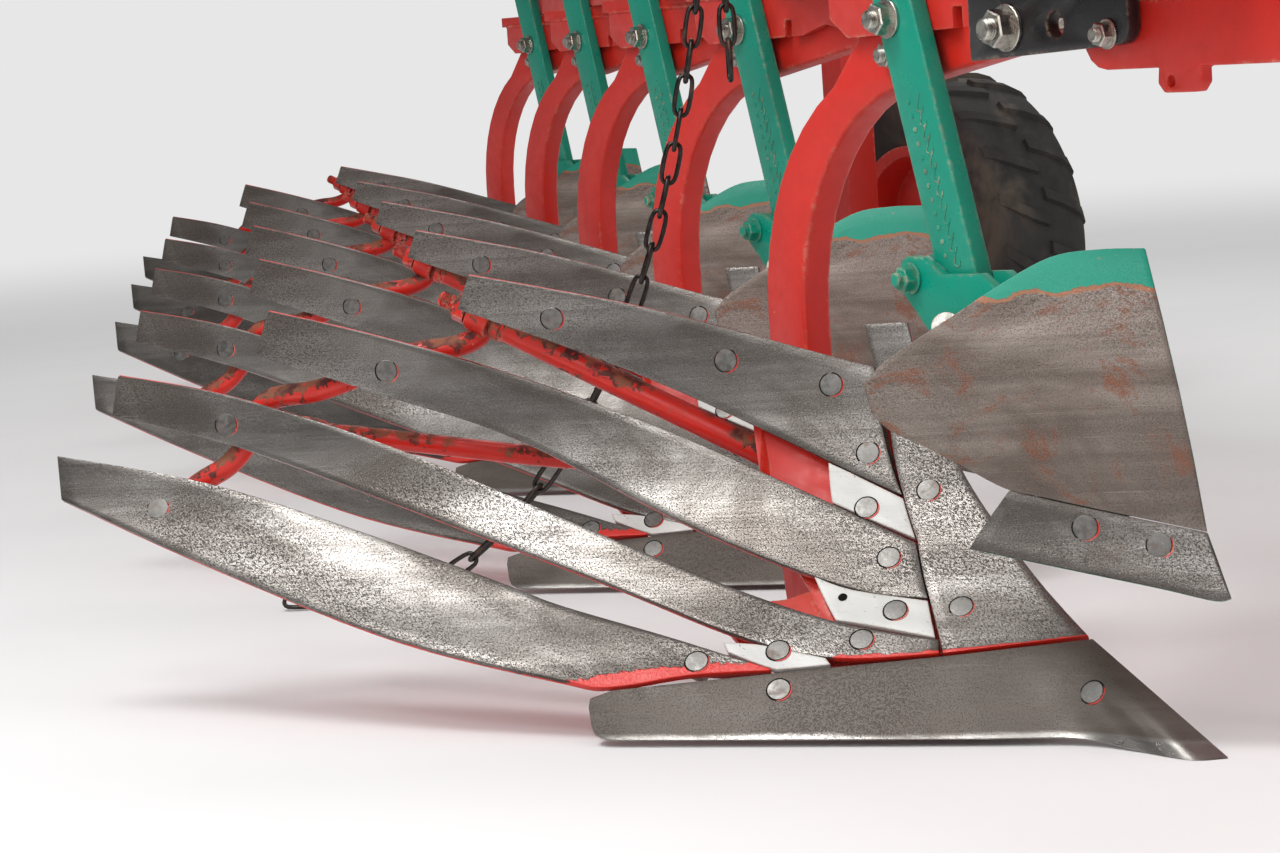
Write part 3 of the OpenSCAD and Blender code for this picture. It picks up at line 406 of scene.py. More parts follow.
def painted(name, colour, chip, dust=0.25, gloss=0.4, flake=0.0):
    """Sprayed paint over steel: faded, dusty on top, chipped on its edges; flakes off the top of bars."""
    f = Finish(name)
    big = f.grain(f.coords, 3.2, 4, 0.6)
    fine = f.grain(f.coords, 46, 4, 0.6)
    shade = f.mix(f.step(big, 0.32, 0.7), tint([c * 0.84 for c in colour]), tint(colour))
    shade = f.mix(f.step(fine, 0.3, 0.78, 0.0, 0.16), shade, tint([c * 0.5 + 0.01 for c in colour]))
    up = f.node("ShaderNodeSeparateXYZ", {0: f.node("ShaderNodeNewGeometry").outputs["Normal"]}).outputs[2]
    settled = f.sum("MULTIPLY", f.step(up, 0.45, 0.98), f.step(big, 0.42, 0.66, 0.2, 1.0))
    dirt = f.sum("MULTIPLY", settled, dust)
    shade = f.mix(dirt, shade, (0.20, 0.15, 0.10, 1))
    edge = f.worn_edge(0.006)
    speck = f.grain(f.coords, 150, 3, 0.7)
    broad = f.grain(f.coords, 9, 3, 0.6)
    knock = f.sum("MULTIPLY", edge, f.step(speck, 0.42, 0.56))
    knock = f.sum("MULTIPLY", knock, f.step(broad, 0.4, 0.58, 0.15, 1.0), clamp=True)
    chipped = f.sum("MULTIPLY", f.step(speck, 0.72, 0.745), f.step(broad, 0.46, 0.6), clamp=True)
    knock = f.sum("MULTIPLY", f.sum("MAXIMUM", knock, chipped), chip, clamp=True)
    under = f.mix(f.step(fine, 0.4, 0.6), (0.62, 0.44, 0.30, 1), (0.30, 0.13, 0.07, 1))
    shade = f.mix(knock, shade, under)
    lost = knock
    if flake:
        islands = f.grain(f.coords, 62, 5, 0.72, 0.5)
        patch = f.step(f.sum("ADD", islands, f.sum("MULTIPLY", f.step(up, -0.25, 0.55), 0.17)), 0.60, 0.62)
        patch = f.sum("MULTIPLY", patch, f.sum("MULTIPLY", f.step(broad, 0.36, 0.46), flake), clamp=True)
        scale = f.mix(f.step(fine, 0.42, 0.58), (0.035, 0.018, 0.014, 1), (0.20, 0.085, 0.04, 1))
        shade = f.mix(patch, shade, scale)
        lost = f.sum("MAXIMUM", knock, patch)
    rough = f.blend(lost, f.step(fine, 0.3, 0.7, gloss - 0.05, gloss + 0.12), 0.72)
    rough = f.sum("ADD", rough, f.sum("MULTIPLY", dirt, 0.4), clamp=True)
    peel = f.sum("ADD", f.sum("MULTIPLY", f.grain(f.coords, 190, 2, 0.5), 0.3), f.sum("MULTIPLY", lost, -1.0))
    return f.finish(Base_Color=shade, Roughness=rough, Normal=f.bump(peel, 0.4, 0.0006))


def pitted(f, lay, amount):
    """Corrosion on board steel: its mask of fine pits and flaking patches, its zones and its grain."""
    zone = f.grain(f.stretched(lay, (4.2, 6.5, 6)), 1.0, 4, 0.6, 0.5)
    island = f.grain(f.stretched(lay, (330, 420, 380)), 1.0, 4, 0.7, 0.6)
    dot = f.grain(f.stretched(lay, (620, 760, 700)), 1.0, 2, 0.6)
    flaky = f.sum("MULTIPLY", f.step(island, 0.53, 0.58), f.step(zone, 0.42, 0.6, 0.0, 0.8))
    dotted = f.sum("MULTIPLY", f.step(dot, 0.56, 0.62), f.step(zone, 0.3, 0.55, 0.4, 1.0))
    both = f.sum("MULTIPLY", f.sum("MAXIMUM", flaky, dotted), amount, clamp=True)
    return both, zone, dot


def border_line(f, t, border):
    """Height of a paint border along t, through its points."""
    curve = f.node("ShaderNodeFloatCurve", {"Value": f.sum("MULTIPLY", t, 1 / 0.3)})
    points = curve.mapping.curves[0].points
    rows = [(a / 300, (b - 380) / 100) for a, b in border]
    points[0].location = rows[0]
    points[1].location = rows[-1]
    for row in rows[1:-1]:
        points.new(*row)
    curve.mapping.update()
    return f.sum("ADD", f.sum("MULTIPLY", curve.outputs[0], 0.1), 0.38)


def soil_steel(name, bright, dark, paint, rust, pits=1.0, joint=True, band=None, metal=1.0):
    """Board steel polished by soil on its face; its edges and back keep their paint."""
    f = Finish(name)
    lay = f.node("ShaderNodeAttribute", attribute_name="lay").outputs["Vector"]
    axes = f.node("ShaderNodeSeparateXYZ", {0: lay})
    t, z, depth = axes.outputs[0], axes.outputs[1], axes.outputs[2]
    pit, zone, dot = pitted(f, lay, pits)
    scratch = f.grain(f.stretched(lay, (7, 620, 60), (0, 0, 0.06)), 1.0, 4, 0.62)
    streak = f.grain(f.stretched(lay, (1.6, 38, 8), (0, 0, -0.1)), 1.0, 4, 0.6, 0.4)
    patch = f.grain(f.stretched(lay, (5, 7, 7)), 1.0, 5, 0.62, 0.8)
    shade = f.mix(f.step(patch, 0.34, 0.66), tint(dark), tint(bright))
    shade = f.mix(f.step(streak, 0.36, 0.62, 0.0, 0.5), shade, tint([c * 0.7 for c in dark[:3]]))
    shade = f.mix(f.step(scratch, 0.6, 0.72, 0.0, 0.35), shade, tint([min(1, c * 1.5) for c in bright[:3]]))
    # painted highlight: fine dots brightened in the steel's colour as glints, fewer where metal is low
    painted_glint = f.step(dot, 0.38, 0.33, 0.0, 0.35 * metal)
    shade = f.mix(painted_glint, shade, tint([min(1, c * 1.9) for c in bright[:3]]))
    shade = f.mix(f.sum("MULTIPLY", pit, 0.85), shade, (0.045, 0.034, 0.027, 1))
    spread = f.grain(f.stretched(lay, (13, 17, 13)), 1.0, 6, 0.72, 0.8)
    rusty = f.sum("MULTIPLY", f.step(spread, 0.62 - 0.12 * rust, 0.70 - 0.1 * rust), rust, clamp=True)
    shade = f.mix(rusty, shade, f.mix(f.step(dot, 0.4, 0.6), (0.27, 0.09, 0.035, 1), (0.13, 0.05, 0.03, 1)))
    ragged = f.grain(f.stretched(lay, (48, 80, 60)), 1.0, 5, 0.7)
    rag = f.sum("SUBTRACT", ragged, 0.5)
    keep = f.step(f.sum("ADD", depth, f.sum("MULTIPLY", rag, 0.006)), 0.0042, 0.005)
    worn_back = f.step(f.grain(f.stretched(lay, (9, 12, 10)), 1.0, 5, 0.7, 0.6), 0.56, 0.62, 0.0, 0.85)
    keep = f.sum("SUBTRACT", keep, f.sum("MULTIPLY", worn_back, f.step(depth, 0.004, 0.006)), clamp=True)
    if joint:
        seam = f.node("ShaderNodeAttribute", attribute_name="seam").outputs["Fac"]
        wide = f.step(t, 0.05, 0.58, 0.0012, 0.0125)
        jag = f.sum("MULTIPLY", rag, f.sum("ADD", f.sum("MULTIPLY", wide, 2.0), 0.001))
        over = f.sum("SUBTRACT", f.sum("ADD", seam, jag), wide)
        low = f.step(over, 0.0012, 0.0)
        keep = f.sum("MAXIMUM", keep, low)
        burnt = f.sum("MULTIPLY", f.step(over, 0.02, 0.002), f.step(t, 0.36, 0.44))
        shade = f.mix(f.sum("MULTIPLY", burnt, 0.8), shade, (0.055, 0.048, 0.042, 1))
    if band:
        line = border_line(f, t, band)
        over = f.sum("SUBTRACT", f.sum("ADD", z, f.sum("MULTIPLY", rag, 0.016)), line)
        inside = f.step(over, 0.0, 0.0012)
        border = f.sum("MULTIPLY", f.step(over, -0.0045, -0.0026), f.sum("SUBTRACT", 1.0, inside))
        shade = f.mix(border, shade, (0.36, 0.17, 0.10, 1))
        keep = f.sum("MAXIMUM", keep, inside)
    scar = f.step(f.grain(f.stretched(lay, (40, 240, 60), (0, 0, 0.5)), 1.0, 3, 0.7), 0.69, 0.71)
    cover = f.mix(f.sum("MULTIPLY", scar, 0.8), tint(paint), (0.40, 0.20, 0.13, 1))
    shade = f.mix(keep, shade, cover)
    bare = f.sum("SUBTRACT", 1.0, f.sum("MAXIMUM", keep, f.sum("MULTIPLY", rusty, 0.9)), clamp=True)
    bare = f.sum("MULTIPLY", bare, f.sum("SUBTRACT", 1.0, f.sum("MULTIPLY", pit, 0.7)))
    rough = f.sum("ADD", f.step(patch, 0.3, 0.7, 0.42, 0.31), f.step(scratch, 0.3, 0.75, -0.05, 0.08))
    rough = f.sum("ADD", rough, f.sum("MULTIPLY", pit, 0.3), clamp=True)
    rough = f.blend(keep, rough, 0.36)
    height = f.sum("ADD", f.sum("MULTIPLY", scratch, 0.2), f.sum("MULTIPLY", pit, -0.9))
    height = f.sum("ADD", height, f.sum("MULTIPLY", keep, 0.8))
    height = f.sum("ADD", height, f.sum("MULTIPLY", zone, 0.5))
    bare = f.sum("MULTIPLY", bare, metal)
    return f.finish(Base_Color=shade, Metallic=bare, Roughness=rough, Normal=f.bump(height, 0.35, 0.0008))


def liner_finish(name, colour):
    """Off-white liner plates: scuffed, with dark specks and brown edges."""
    f = Finish(name)
    lay = f.node("ShaderNodeAttribute", attribute_name="lay").outputs["Vector"]
    cloud = f.grain(f.stretched(lay, (16, 22, 20)), 1.0, 5, 0.6, 0.4)
    speck = f.grain(f.stretched(lay, (170, 220, 200)), 1.0, 3, 0.65)
    scuff = f.grain(f.stretched(lay, (10, 420, 60), (0, 0, 0.2)), 1.0, 3, 0.6)
    shade = f.mix(f.step(cloud, 0.35, 0.7), tint(colour), tint([c * 0.86 for c in colour]))
    shade = f.mix(f.step(scuff, 0.6, 0.75, 0.0, 0.3), shade, (0.42, 0.39, 0.36, 1))
    marks = f.sum("MULTIPLY", f.step(speck, 0.66, 0.69), f.step(cloud, 0.4, 0.6, 0.2, 1.0), clamp=True)
    shade = f.mix(f.sum("MULTIPLY", marks, 0.8), shade, (0.13, 0.09, 0.07, 1))
    edge = f.sum("MULTIPLY", f.worn_edge(0.003), f.step(cloud, 0.3, 0.6, 0.3, 0.9))
    shade = f.mix(edge, shade, (0.30, 0.15, 0.09, 1))
    return f.finish(Base_Color=shade, Roughness=f.step(cloud, 0.3, 0.7, 0.38, 0.56),
                    Normal=f.bump(f.sum("SUBTRACT", scuff, marks), 0.3, 0.0004))


def share_finish(name, steel, dark):
    """Share steel: brown-grey with fine pits, ground bright along the cutting edge."""
    f = Finish(name)
    lay = f.node("ShaderNodeAttribute", attribute_name="lay").outputs["Vector"]
    axes = f.node("ShaderNodeSeparateXYZ", {0: lay})
    pit = pitted(f, lay, 0.8)[0]
    drift = f.grain(f.stretched(lay, (5, 30, 10)), 1.0, 5, 0.65, 0.5)
    scratch = f.grain(f.stretched(lay, (9, 520, 60), (0, 0, 0.1)), 1.0, 4, 0.62)
    shade = f.mix(f.step(drift, 0.32, 0.68), tint(dark), tint([c * 1.5 for c in dark]))
    shade = f.mix(f.step(scratch, 0.58, 0.74, 0.0, 0.4), shade, tint([c * 2.2 for c in dark]))
    shade = f.mix(f.sum("MULTIPLY", pit, 0.7), shade, (0.03, 0.022, 0.018, 1))
    low = f.sum("ADD", axes.outputs[1], f.sum("MULTIPLY", f.sum("SUBTRACT", drift, 0.5), 0.012))
    ground = f.step(low, 0.006, 0.001)
    shade = f.mix(ground, shade, tint(steel))
    rough = f.sum("ADD", f.step(drift, 0.3, 0.7, 0.42, 0.56), f.sum("MULTIPLY", ground, -0.16))
    height = f.sum("ADD", f.sum("MULTIPLY", scratch, 0.2), f.sum("MULTIPLY", pit, -0.9))
    return f.finish(Base_Color=shade, Metallic=f.sum("ADD", f.sum("MULTIPLY", ground, 0.5), 0.45),
                    Roughness=rough, Normal=f.bump(height, 0.35, 0.0008))


def bare_metal(name, colour, rust=0.3, rough=0.38, scale=1.0):
    """Zinc or bare steel, dulled, with rust in its hollows."""
    f = Finish(name)
    mottle = f.grain(f.coords, 70 * scale, 4, 0.65)
    broad = f.grain(f.coords, 14 * scale, 4, 0.6, 0.4)
    shade = f.mix(f.step(mottle, 0.35, 0.68), tint([c * 0.62 for c in colour]), tint(colour))
    spots = f.sum("MULTIPLY", f.step(broad, 0.56, 0.68), rust)
    shade = f.mix(spots, shade, (0.17, 0.075, 0.035, 1))
    metal = f.sum("SUBTRACT", 1.0, spots)
    value = f.step(mottle, 0.3, 0.7, rough - 0.08, rough + 0.14)
    value = f.sum("ADD", value, f.sum("MULTIPLY", spots, 0.3), clamp=True)
    return f.finish(Base_Color=shade, Metallic=metal, Roughness=value, Normal=f.bump(mottle, 0.25, 0.0005))


def tyre_rubber(name, colour):
    """Dull tyre rubber with dried soil on it."""
    f = Finish(name)
    mottle = f.grain(f.coords, 30, 5, 0.65)
    soil = f.step(f.grain(f.coords, 7, 4, 0.6, 0.5), 0.45, 0.68, 0.0, 0.55)
    shade = f.mix(f.step(mottle, 0.3, 0.7), tint(colour), tint([c * 1.7 for c in colour]))
    shade = f.mix(soil, shade, (0.15, 0.115, 0.08, 1))
    fine = f.grain(f.coords, 380, 2, 0.6)
    return f.finish(Base_Color=shade, Roughness=f.step(mottle, 0.3, 0.7, 0.72, 0.92),
                    Normal=f.bump(fine, 0.4, 0.0005))


def stage_finish(name, value):
    """Matt floor that keeps its shadows near the plough and goes over into the pale backdrop far off."""
    f = Finish(name)
    shade = f.mix(f.step(f.grain(f.coords, 1.1, 4, 0.6), 0.3, 0.7), grey(value), grey(value * 0.97))
    far = f.node("ShaderNodeVectorMath", {0: f.coords}, operation="LENGTH").outputs["Value"]
    seen = f.node("ShaderNodeLightPath").outputs["Is Camera Ray"]
    pale = f.sum("MULTIPLY", f.step(far, 3.6, 9.0), seen)
    return f.finish(Base_Color=f.mix(pale, shade, grey(0.0)), Roughness=0.95, Emission_Color=grey(1.0),
                    Emission_Strength=f.sum("MULTIPLY", pale, BACKDROP), Specular_IOR_Level=0.0)


def outward_mesh(name, points, faces):
    """A mesh with its normals outward."""
    mesh = bpy.data.meshes.new(name)
    mesh.from_pydata([tuple(p) for p in points], [], faces)
    bm = bmesh.new()
    bm.from_mesh(mesh)
    bmesh.ops.recalc_face_normals(bm, faces=bm.faces)
    bm.to_mesh(mesh)
    bm.free()
    return mesh


def mesh_piece(name, shape, material, smooth=35.0):
    """A mesh object at the origin, from points in metres."""
    mesh = outward_mesh(name, *shape)
    mesh.materials.append(material)
    soften(mesh, smooth)
    piece = bpy.data.objects.new(name, mesh)
    bpy.context.scene.collection.objects.link(piece)
    return piece


def finished(name, shape, material, body, node=None, smooth=40.0):
    """A piece made here that rides a body; it stands for a solid's node when one is given."""
    piece = mesh_piece(name, shape, material, smooth)
    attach(piece, body)
    if node:
        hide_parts(node)
    return piece


def on_bottoms(shape, bottoms=range(BOTTOMS)):
    """A shape in millimetres from the share nose, set on each bottom in metres."""
    return joined(*[([world(p, b) for p in shape[0]], shape[1]) for b in bottoms])


def soften(mesh, angle):
    """Smooth shading with edges sharper than the angle kept."""
    bm = bmesh.new()
    bm.from_mesh(mesh)
    limit = math.radians(angle)
    for face in bm.faces:
        face.smooth = True
    for edge in bm.edges:
        edge.smooth = len(edge.link_faces) == 2 and edge.calc_face_angle(0) < limit
    bm.to_mesh(mesh)
    bm.free()


def baked(piece):
    """The piece's mesh with its modifiers applied; the modifiers go."""
    graph = bpy.context.evaluated_depsgraph_get()
    graph.update()
    mesh = bpy.data.meshes.new_from_object(piece.evaluated_get(graph))
    piece.modifiers.clear()
    piece.data = mesh
    mesh.name = piece.name
    return mesh


def clean_copy(node, weld=2e-5, flat=0.4):
    """A copy of a solid's mesh with its loose triangles joined into faces."""
    mesh = NODES[node].data.copy()
    bm = bmesh.new()
    bm.from_mesh(mesh)
    bmesh.ops.remove_doubles(bm, verts=bm.verts, dist=weld)
    bmesh.ops.dissolve_limit(bm, angle_limit=math.radians(flat), verts=bm.verts, edges=bm.edges)
    bm.to_mesh(mesh)
    bm.free()
    mesh.materials.clear()
    return mesh


def dressed(node, material, bevel=1.5, steps=2, smooth=32.0, flat=0.4, cut=None):
    """The solid with its edges broken, in its finish; it stands for the node. What lies in cut goes."""
    mesh = clean_copy(node, flat=flat)
    piece = bpy.data.objects.new(node + "_dressed", mesh)
    bpy.context.scene.collection.objects.link(piece)
    mesh.materials.append(material)
    if cut:
        trim = mesh_piece(node + "_cut", cut, material)
        away = piece.modifiers.new("Trim", "BOOLEAN")
        away.object = trim
        away.operation = "DIFFERENCE"
        away.solver = "EXACT"
        mesh = baked(piece)
        bpy.data.objects.remove(trim)
    if bevel:
        edge = piece.modifiers.new("Broken edges", "BEVEL")
        edge.width = bevel * MM
        edge.segments = steps
        edge.limit_method = "ANGLE"
        edge.angle_limit = math.radians(28)
        edge.use_clamp_overlap = True
        mesh = baked(piece)
    soften(mesh, smooth)
    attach(piece, body_of(node))
    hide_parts(node)
    return piece


def body_of(node):
    """The body that a solid's node moves with."""
    return NODES[node]["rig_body"]


def laid_out(piece, face, bottoms=range(BOTTOMS)):
    """Stores where each point lies on the board, and how far over the share's joint."""
    mesh = piece.data
    lay, seam = [], []
    for v in mesh.vertices:
        t, z, depth = min((face.place(local(v.co, b)) for b in bottoms), key=lambda q: abs(q[2]))
        lay += [t * MM, z * MM, depth * MM]
        seam.append((z - lookup(t, SHARE_JOINT)) * MM)
    mesh.attributes.new("lay", "FLOAT_VECTOR", "POINT").data.foreach_set("vector", lay)
    mesh.attributes.new("seam", "FLOAT", "POINT").data.foreach_set("value", seam)
    return piece


def laid_out_share(piece, bottom):
    """Stores how far each point of a share lies along its cutting edge, and its height."""
    lay = []
    for v in piece.data.vertices:
        p = local(v.co, bottom)
        lay += [p.dot(EDGE_DIR) * MM, p.z * MM, 0.0]
    piece.data.attributes.new("lay", "FLOAT_VECTOR", "POINT").data.foreach_set("vector", lay)
    return piece


def lathe(rows, sides=24):
    """Points and faces of a turned part, from rows of radius and height; closed where the radius is 0."""
    points, faces, rings = [], [], []
    for r, z in rows:
        if r < 1e-9:
            rings.append([len(points)])
            points.append(Vector((0, 0, z)))
        else:
            rings.append(list(range(len(points), len(points) + sides)))
            angles = [2 * math.pi * k / sides for k in range(sides)]
            points += [Vector((r * math.cos(a), r * math.sin(a), z)) for a in angles]
    for a, b in zip(rings, rings[1:]):
        for k in range(sides):
            n = (k + 1) % sides
            if len(a) == 1:
                faces.append((a[0], b[k], b[n]))
            elif len(b) == 1:
                faces.append((a[k], a[n], b[0]))
            else:
                faces.append((a[k], a[n], b[n], b[k]))
    return points, faces


def joined(*shapes):
    """Several shapes as one."""
    points, faces = [], []
    for shape_points, shape_faces in shapes:
        base = len(points)
        points += shape_points
        faces += [tuple(base + k for k in f) for f in shape_faces]
    return points, faces


def moved(shape, matrix):
    """A shape with a matrix on its points."""
    return [matrix @ Vector(p) for p in shape[0]], shape[1]


def aimed(place, axis, spin=0.0):
    """A matrix that puts the origin at a place with +Z along the axis."""
    turn = Vector(axis).normalized().to_track_quat("Z", "X").to_matrix().to_4x4()
    return Matrix.Translation(place) @ turn @ Matrix.Rotation(math.radians(spin), 4, "Z")


def pipe(path, radii, sides=18, closed=False):
    """A round bar along points; radii is one radius or one for each point."""
    path = [Vector(p) for p in path]
    n = len(path)
    if not hasattr(radii, "__len__"):
        radii = [radii] * n
    points, faces = [], []
    turn = None
    for i, p in enumerate(path):
        if closed:
            along = (path[(i + 1) % n] - path[i - 1]).normalized()
        else:
            along = (path[min(n - 1, i + 1)] - path[max(0, i - 1)]).normalized()
        if turn is None:
            side = along.orthogonal().normalized()
        else:
            side = (turn - along * turn.dot(along)).normalized()
        turn = side
        other = along.cross(side)
        for k in range(sides):
            a = 2 * math.pi * k / sides
            points.append(p + (side * math.cos(a) + other * math.sin(a)) * radii[i])
    rings = n if closed else n - 1
    for i in range(rings):
        for k in range(sides):
            m = (k + 1) % sides
            j = (i + 1) % n
            faces.append((i * sides + k, i * sides + m, j * sides + m, j * sides + k))
    if not closed:
        faces.append(tuple(range(sides - 1, -1, -1)))
        faces.append(tuple((n - 1) * sides + k for k in range(sides)))
    return points, faces


def skin(rings, closed=False):
    """Points and faces of a body through equal rings, its ends closed unless it runs round."""
    n = len(rings[0])
    points = [p for ring in rings for p in ring]
    faces = []
    spans = len(rings) if closed else len(rings) - 1
    for i in range(spans):
        a, b = i * n, (i + 1) % len(rings) * n
        for k in range(n):
            m = (k + 1) % n
            faces.append((a + k, a + m, b + m, b + k))
    if not closed:
        faces += [tuple(range(n - 1, -1, -1)), tuple((len(rings) - 1) * n + k for k in range(n))]
    return points, faces


def on_joint(t, z):
    """t kept clear of the shin."""
    return max(t, lookup(z, SHIN_JOINT) + GAP)


def over_share(t, z):
    """z kept clear of the share."""
    return max(z, lookup(t, SHARE_JOINT) + GAP)


def fitted(row):
    t0, z0, t1, z1 = row
    t0, t1 = on_joint(t0, z0), on_joint(t1, z1)
    return t0, over_share(t0, z0), t1, over_share(t1, z1)


def fair(rows, parts=6):
    """Rows of a board strip rounded between the given ones, kept clear of the shin and the share."""
    out = []
    for t0, z0, t1, z1 in smooth_path([fitted(row) for row in rows], parts):
        out.append((t0, over_share(t0, z0), t1, over_share(t1, z1)))
    return out


def inward(row, other, far):
    """A row a short way toward another."""
    long = max(1.0, math.hypot(other[0] - row[0], other[1] - row[1]))
    return tuple(between(a, b, min(0.45, far / long)) for a, b in zip(row, other))


def plate(face, rows, front, rear, edge=1.1, columns=10, held=True):
    """A plate along a face with rounded edges, through rows of t low, z low, t high, z high."""

    def ring(row, sunk):
        t0, z0, t1, z1 = row
        wide = max(0.5, math.hypot(t1 - t0, z1 - z0))
        r = min(edge, wide / 4)
        path = [(0, front + r), (0.3 * r, front + 0.3 * r)]
        path += [(between(r, wide - r, k / columns), front) for k in range(columns + 1)]
        path += [(wide - 0.3 * r, front + 0.3 * r), (wide, front + r)]
        path += [(wide, rear - r), (wide - 0.3 * r, rear - 0.3 * r)]
        path += [(between(wide - r, r, k / 4), rear) for k in range(5)]
        path += [(0.3 * r, rear - 0.3 * r), (0, rear - r)]
        out = []
        margin = min(sunk, wide / 3)
        for across, depth in path:
            u = min(max(across, margin), wide - margin) / wide
            t, z = between(t0, t1, u), between(z0, z1, u)
            if held:
                t = on_joint(t, z)
            out.append(face.behind(t, z, min(max(depth, front + sunk), rear - sunk)))
        return out

    first, last = rows[0], rows[-1]
    rings = [ring(first, edge), ring(inward(first, rows[1], 0.3 * edge), 0.3 * edge),
             ring(inward(first, rows[1], edge), 0)]
    rings += [ring(row, 0) for row in rows[1:-1]]
    rings.append(ring(inward(last, rows[-2], edge), 0))
    rings.append(ring(inward(last, rows[-2], 0.3 * edge), 0.3 * edge))
    rings.append(ring(last, edge))
    return skin(rings)


def shin_plate():
    rows = []
    for low, high in smooth_path(SHIN_ROWS, 6):
        low = over_share(0, low)
        high = over_share(SHIN_W, high)
        rows.append((2, low, lookup(high, SHIN_JOINT), high))
    return plate(BOARD, rows, 0, SHIN_T, held=False)


def share_thick(u):
    """Thickness of the share, u of the way from its cutting edge to the joint."""
    return min(SHARE_T, 2 + 40 * u)


def share_ring(edge, top, t, start):
    """Points round the share at one place: up its face from start to the joint, and down its back."""
    down = Vector((-0.45, 0.5, -0.75)).normalized()

    def deep(u, d):
        p = between(edge, top, u) + down * d
        if t < 5:
            p.y = min(p.y, -0.5)
        p.z = max(p.z, SHARE_LIP)
        return p

    ring = [deep(between(start, 0.985, k / 9), 0) for k in range(10)]
    ring += [deep(0.995, 0.35), deep(1, 1.1), deep(1, SHARE_T - 1)]
    back = [between(0.985, start, k / 5) for k in range(6)]
    return ring + [deep(u, share_thick(u)) for u in back]


def share_plate():
    """The share with its rounded wing corner, ring by ring from the wing to the nose."""
    wing = Vector(SHARE_ROWS[0][:3])
    rings = []
    for x, y, z, t in smooth_path(SHARE_ROWS, 10):
        edge = Vector((x, y, z))
        top = BOARD.point(t, lookup(t, SHARE_JOINT) - 1.5 * GAP)
        far = min(WING_CORNER, (edge - wing).length)
        lift = WING_CORNER - math.sqrt(WING_CORNER ** 2 - (WING_CORNER - far) ** 2)
        start = lift / (top - edge).length
        rings.append(share_ring(edge, top, t, start))
    return skin(rings)


def rod_line():
    """Start and direction of the adjusting rod."""
    start = BOARD.behind(*ROD_FOOT, ROD_DEPTH)
    return start, (BOARD.behind(*ROD_TIP, ROD_DEPTH) - start).normalized()


def along_rod(t, z, depth=ROD_DEPTH):
    """How far along the adjusting rod a place behind the board lies."""
    start, axis = rod_line()
    return (BOARD.behind(t, z, depth) - start).dot(axis)


def adjusting_rod():
    """Tube, then a thread with rolled grooves, through two nuts; +Z runs from the frog to the tip."""
    collar, tip, hook = along_rod(*ROD_COLLAR), along_rod(*ROD_TIP), along_rod(*TAIL_HOOK)
    rows = [(0, 0), (ROD_R - 2, 0), (ROD_R, 2)]
    rows += [(ROD_R, between(2, collar - 10, k / 6)) for k in range(1, 7)]
    rows += [(ROD_R + 2.4, collar - 9), (ROD_R + 2.4, collar - 2), (ROD_R, collar), (THREAD_R, collar + 1)]
    z = collar + 2
    while z < tip - 4:
        rows += [(THREAD_R, z), (THREAD_R, z + 0.7), (THREAD_R - 1.1, z + 1.4)]
        z += 2.4
    rows += [(THREAD_R, z), (THREAD_R - 2, tip), (0, tip)]
    rod = lathe(rows, 18)
    nuts = [hexagon(16, hook + low, hook + low + 15.4, 1.6) for low in (-31, 15.6)]
    return joined(rod, *nuts)


def tail_bracket():
    """Bar behind the slats' tails, with pads on the slats and the ring that the adjusting rod passes."""
    path = [BOARD.behind(*row) for row in smooth_path(TAIL_PATH, 5)]
    bar = pipe(path, 12, 16)
    start, axis = rod_line()
    eye = [(10.4, -13), (16.6, -13), (18, -11.6), (18, 11.6), (16.6, 13), (10.4, 13)]
    turns = [k * math.pi / 14 for k in range(28)]
    ring = skin([[Vector((r * math.cos(a), r * math.sin(a), z)) for r, z in eye] for a in turns], closed=True)
    ring = moved(ring, aimed(start + axis * along_rod(*TAIL_HOOK), axis))
    pads = []
    for t, z in TAIL_PADS:
        out = BOARD.back(t, z)
        pad = lathe([(0, 0), (17, 0), (17, 12), (15.5, 14), (0, 15)], 24)
        pads.append(moved(pad, aimed(BOARD.behind(t, z, SLAT_T + 0.6), out)))
    return joined(bar, ring, *pads)


def lower_stay():
    """Bar from the frog to its foot on the second slat."""
    path = [BOARD.behind(t, z, STAY_DEPTH) for t, z in smooth_path(STAY_PATH, 5)]
    t, z = STAY_PATH[-1]
    foot = lathe([(0, 0), (15, 0), (15, 44), (14, 51), (9, 57), (0, 58)], 22)
    return joined(pipe(path, 11, 14), moved(foot, aimed(BOARD.behind(t, z, SLAT_T + 0.6), BOARD.back(t, z))))


def hexagon(radius, low, high, chamfer=1.2):
    """A nut or head, its upper edge chamfered."""
    rows = ((radius, low), (radius, high - chamfer), (radius - chamfer, high))
    angles = [math.pi * k / 3 for k in range(6)]
    return skin([[Vector((r * math.cos(a), r * math.sin(a), z)) for a in angles] for r, z in rows])


def washer(radius, low, high):
    rows = [(0, low), (radius - 0.5, low), (radius, low + 0.5)]
    return lathe(rows + [(radius, high - 0.5), (radius - 0.6, high), (0, high)])


def stud(radius, low, high, pitch=2.0):
    """A threaded end with a bevelled tip."""
    rows = [(0, low)]
    z = low
    while z < high - pitch:
        rows += [(radius, z), (radius, z + pitch * 0.25), (radius - 1.0, z + pitch * 0.6)]
        z += pitch
    rows += [(radius, z), (radius - 1.6, high), (0, high)]
    return lathe(rows, 20)


def bolt_head():
    dish = lathe([(8.5, 12.98), (7.6, 13.5), (0, 13.5)], 20)
    return joined(washer(17, 0, 3), hexagon(13.9, 3, 13), dish)


def nut_on_stud():
    return joined(washer(17, 0, 3), hexagon(13.9, 3, 16), stud(8, 16, 23))


def lock_nut():
    """Nut with a plastic ring in its collar."""
    collar = lathe([(0, 14), (11, 14), (10.4, 17.5), (8.2, 18), (0, 18)], 20)
    return joined(washer(17, 0, 3), hexagon(13.9, 3, 14), collar, stud(8, 18, 23))


def plough_head():
    """Flush round head, worn level with the board."""
    return lathe([(0, -0.8), (11.6, -0.8), (11.7, 0.15), (11.2, 0.55), (8, 0.7), (0, 0.75)], 28)


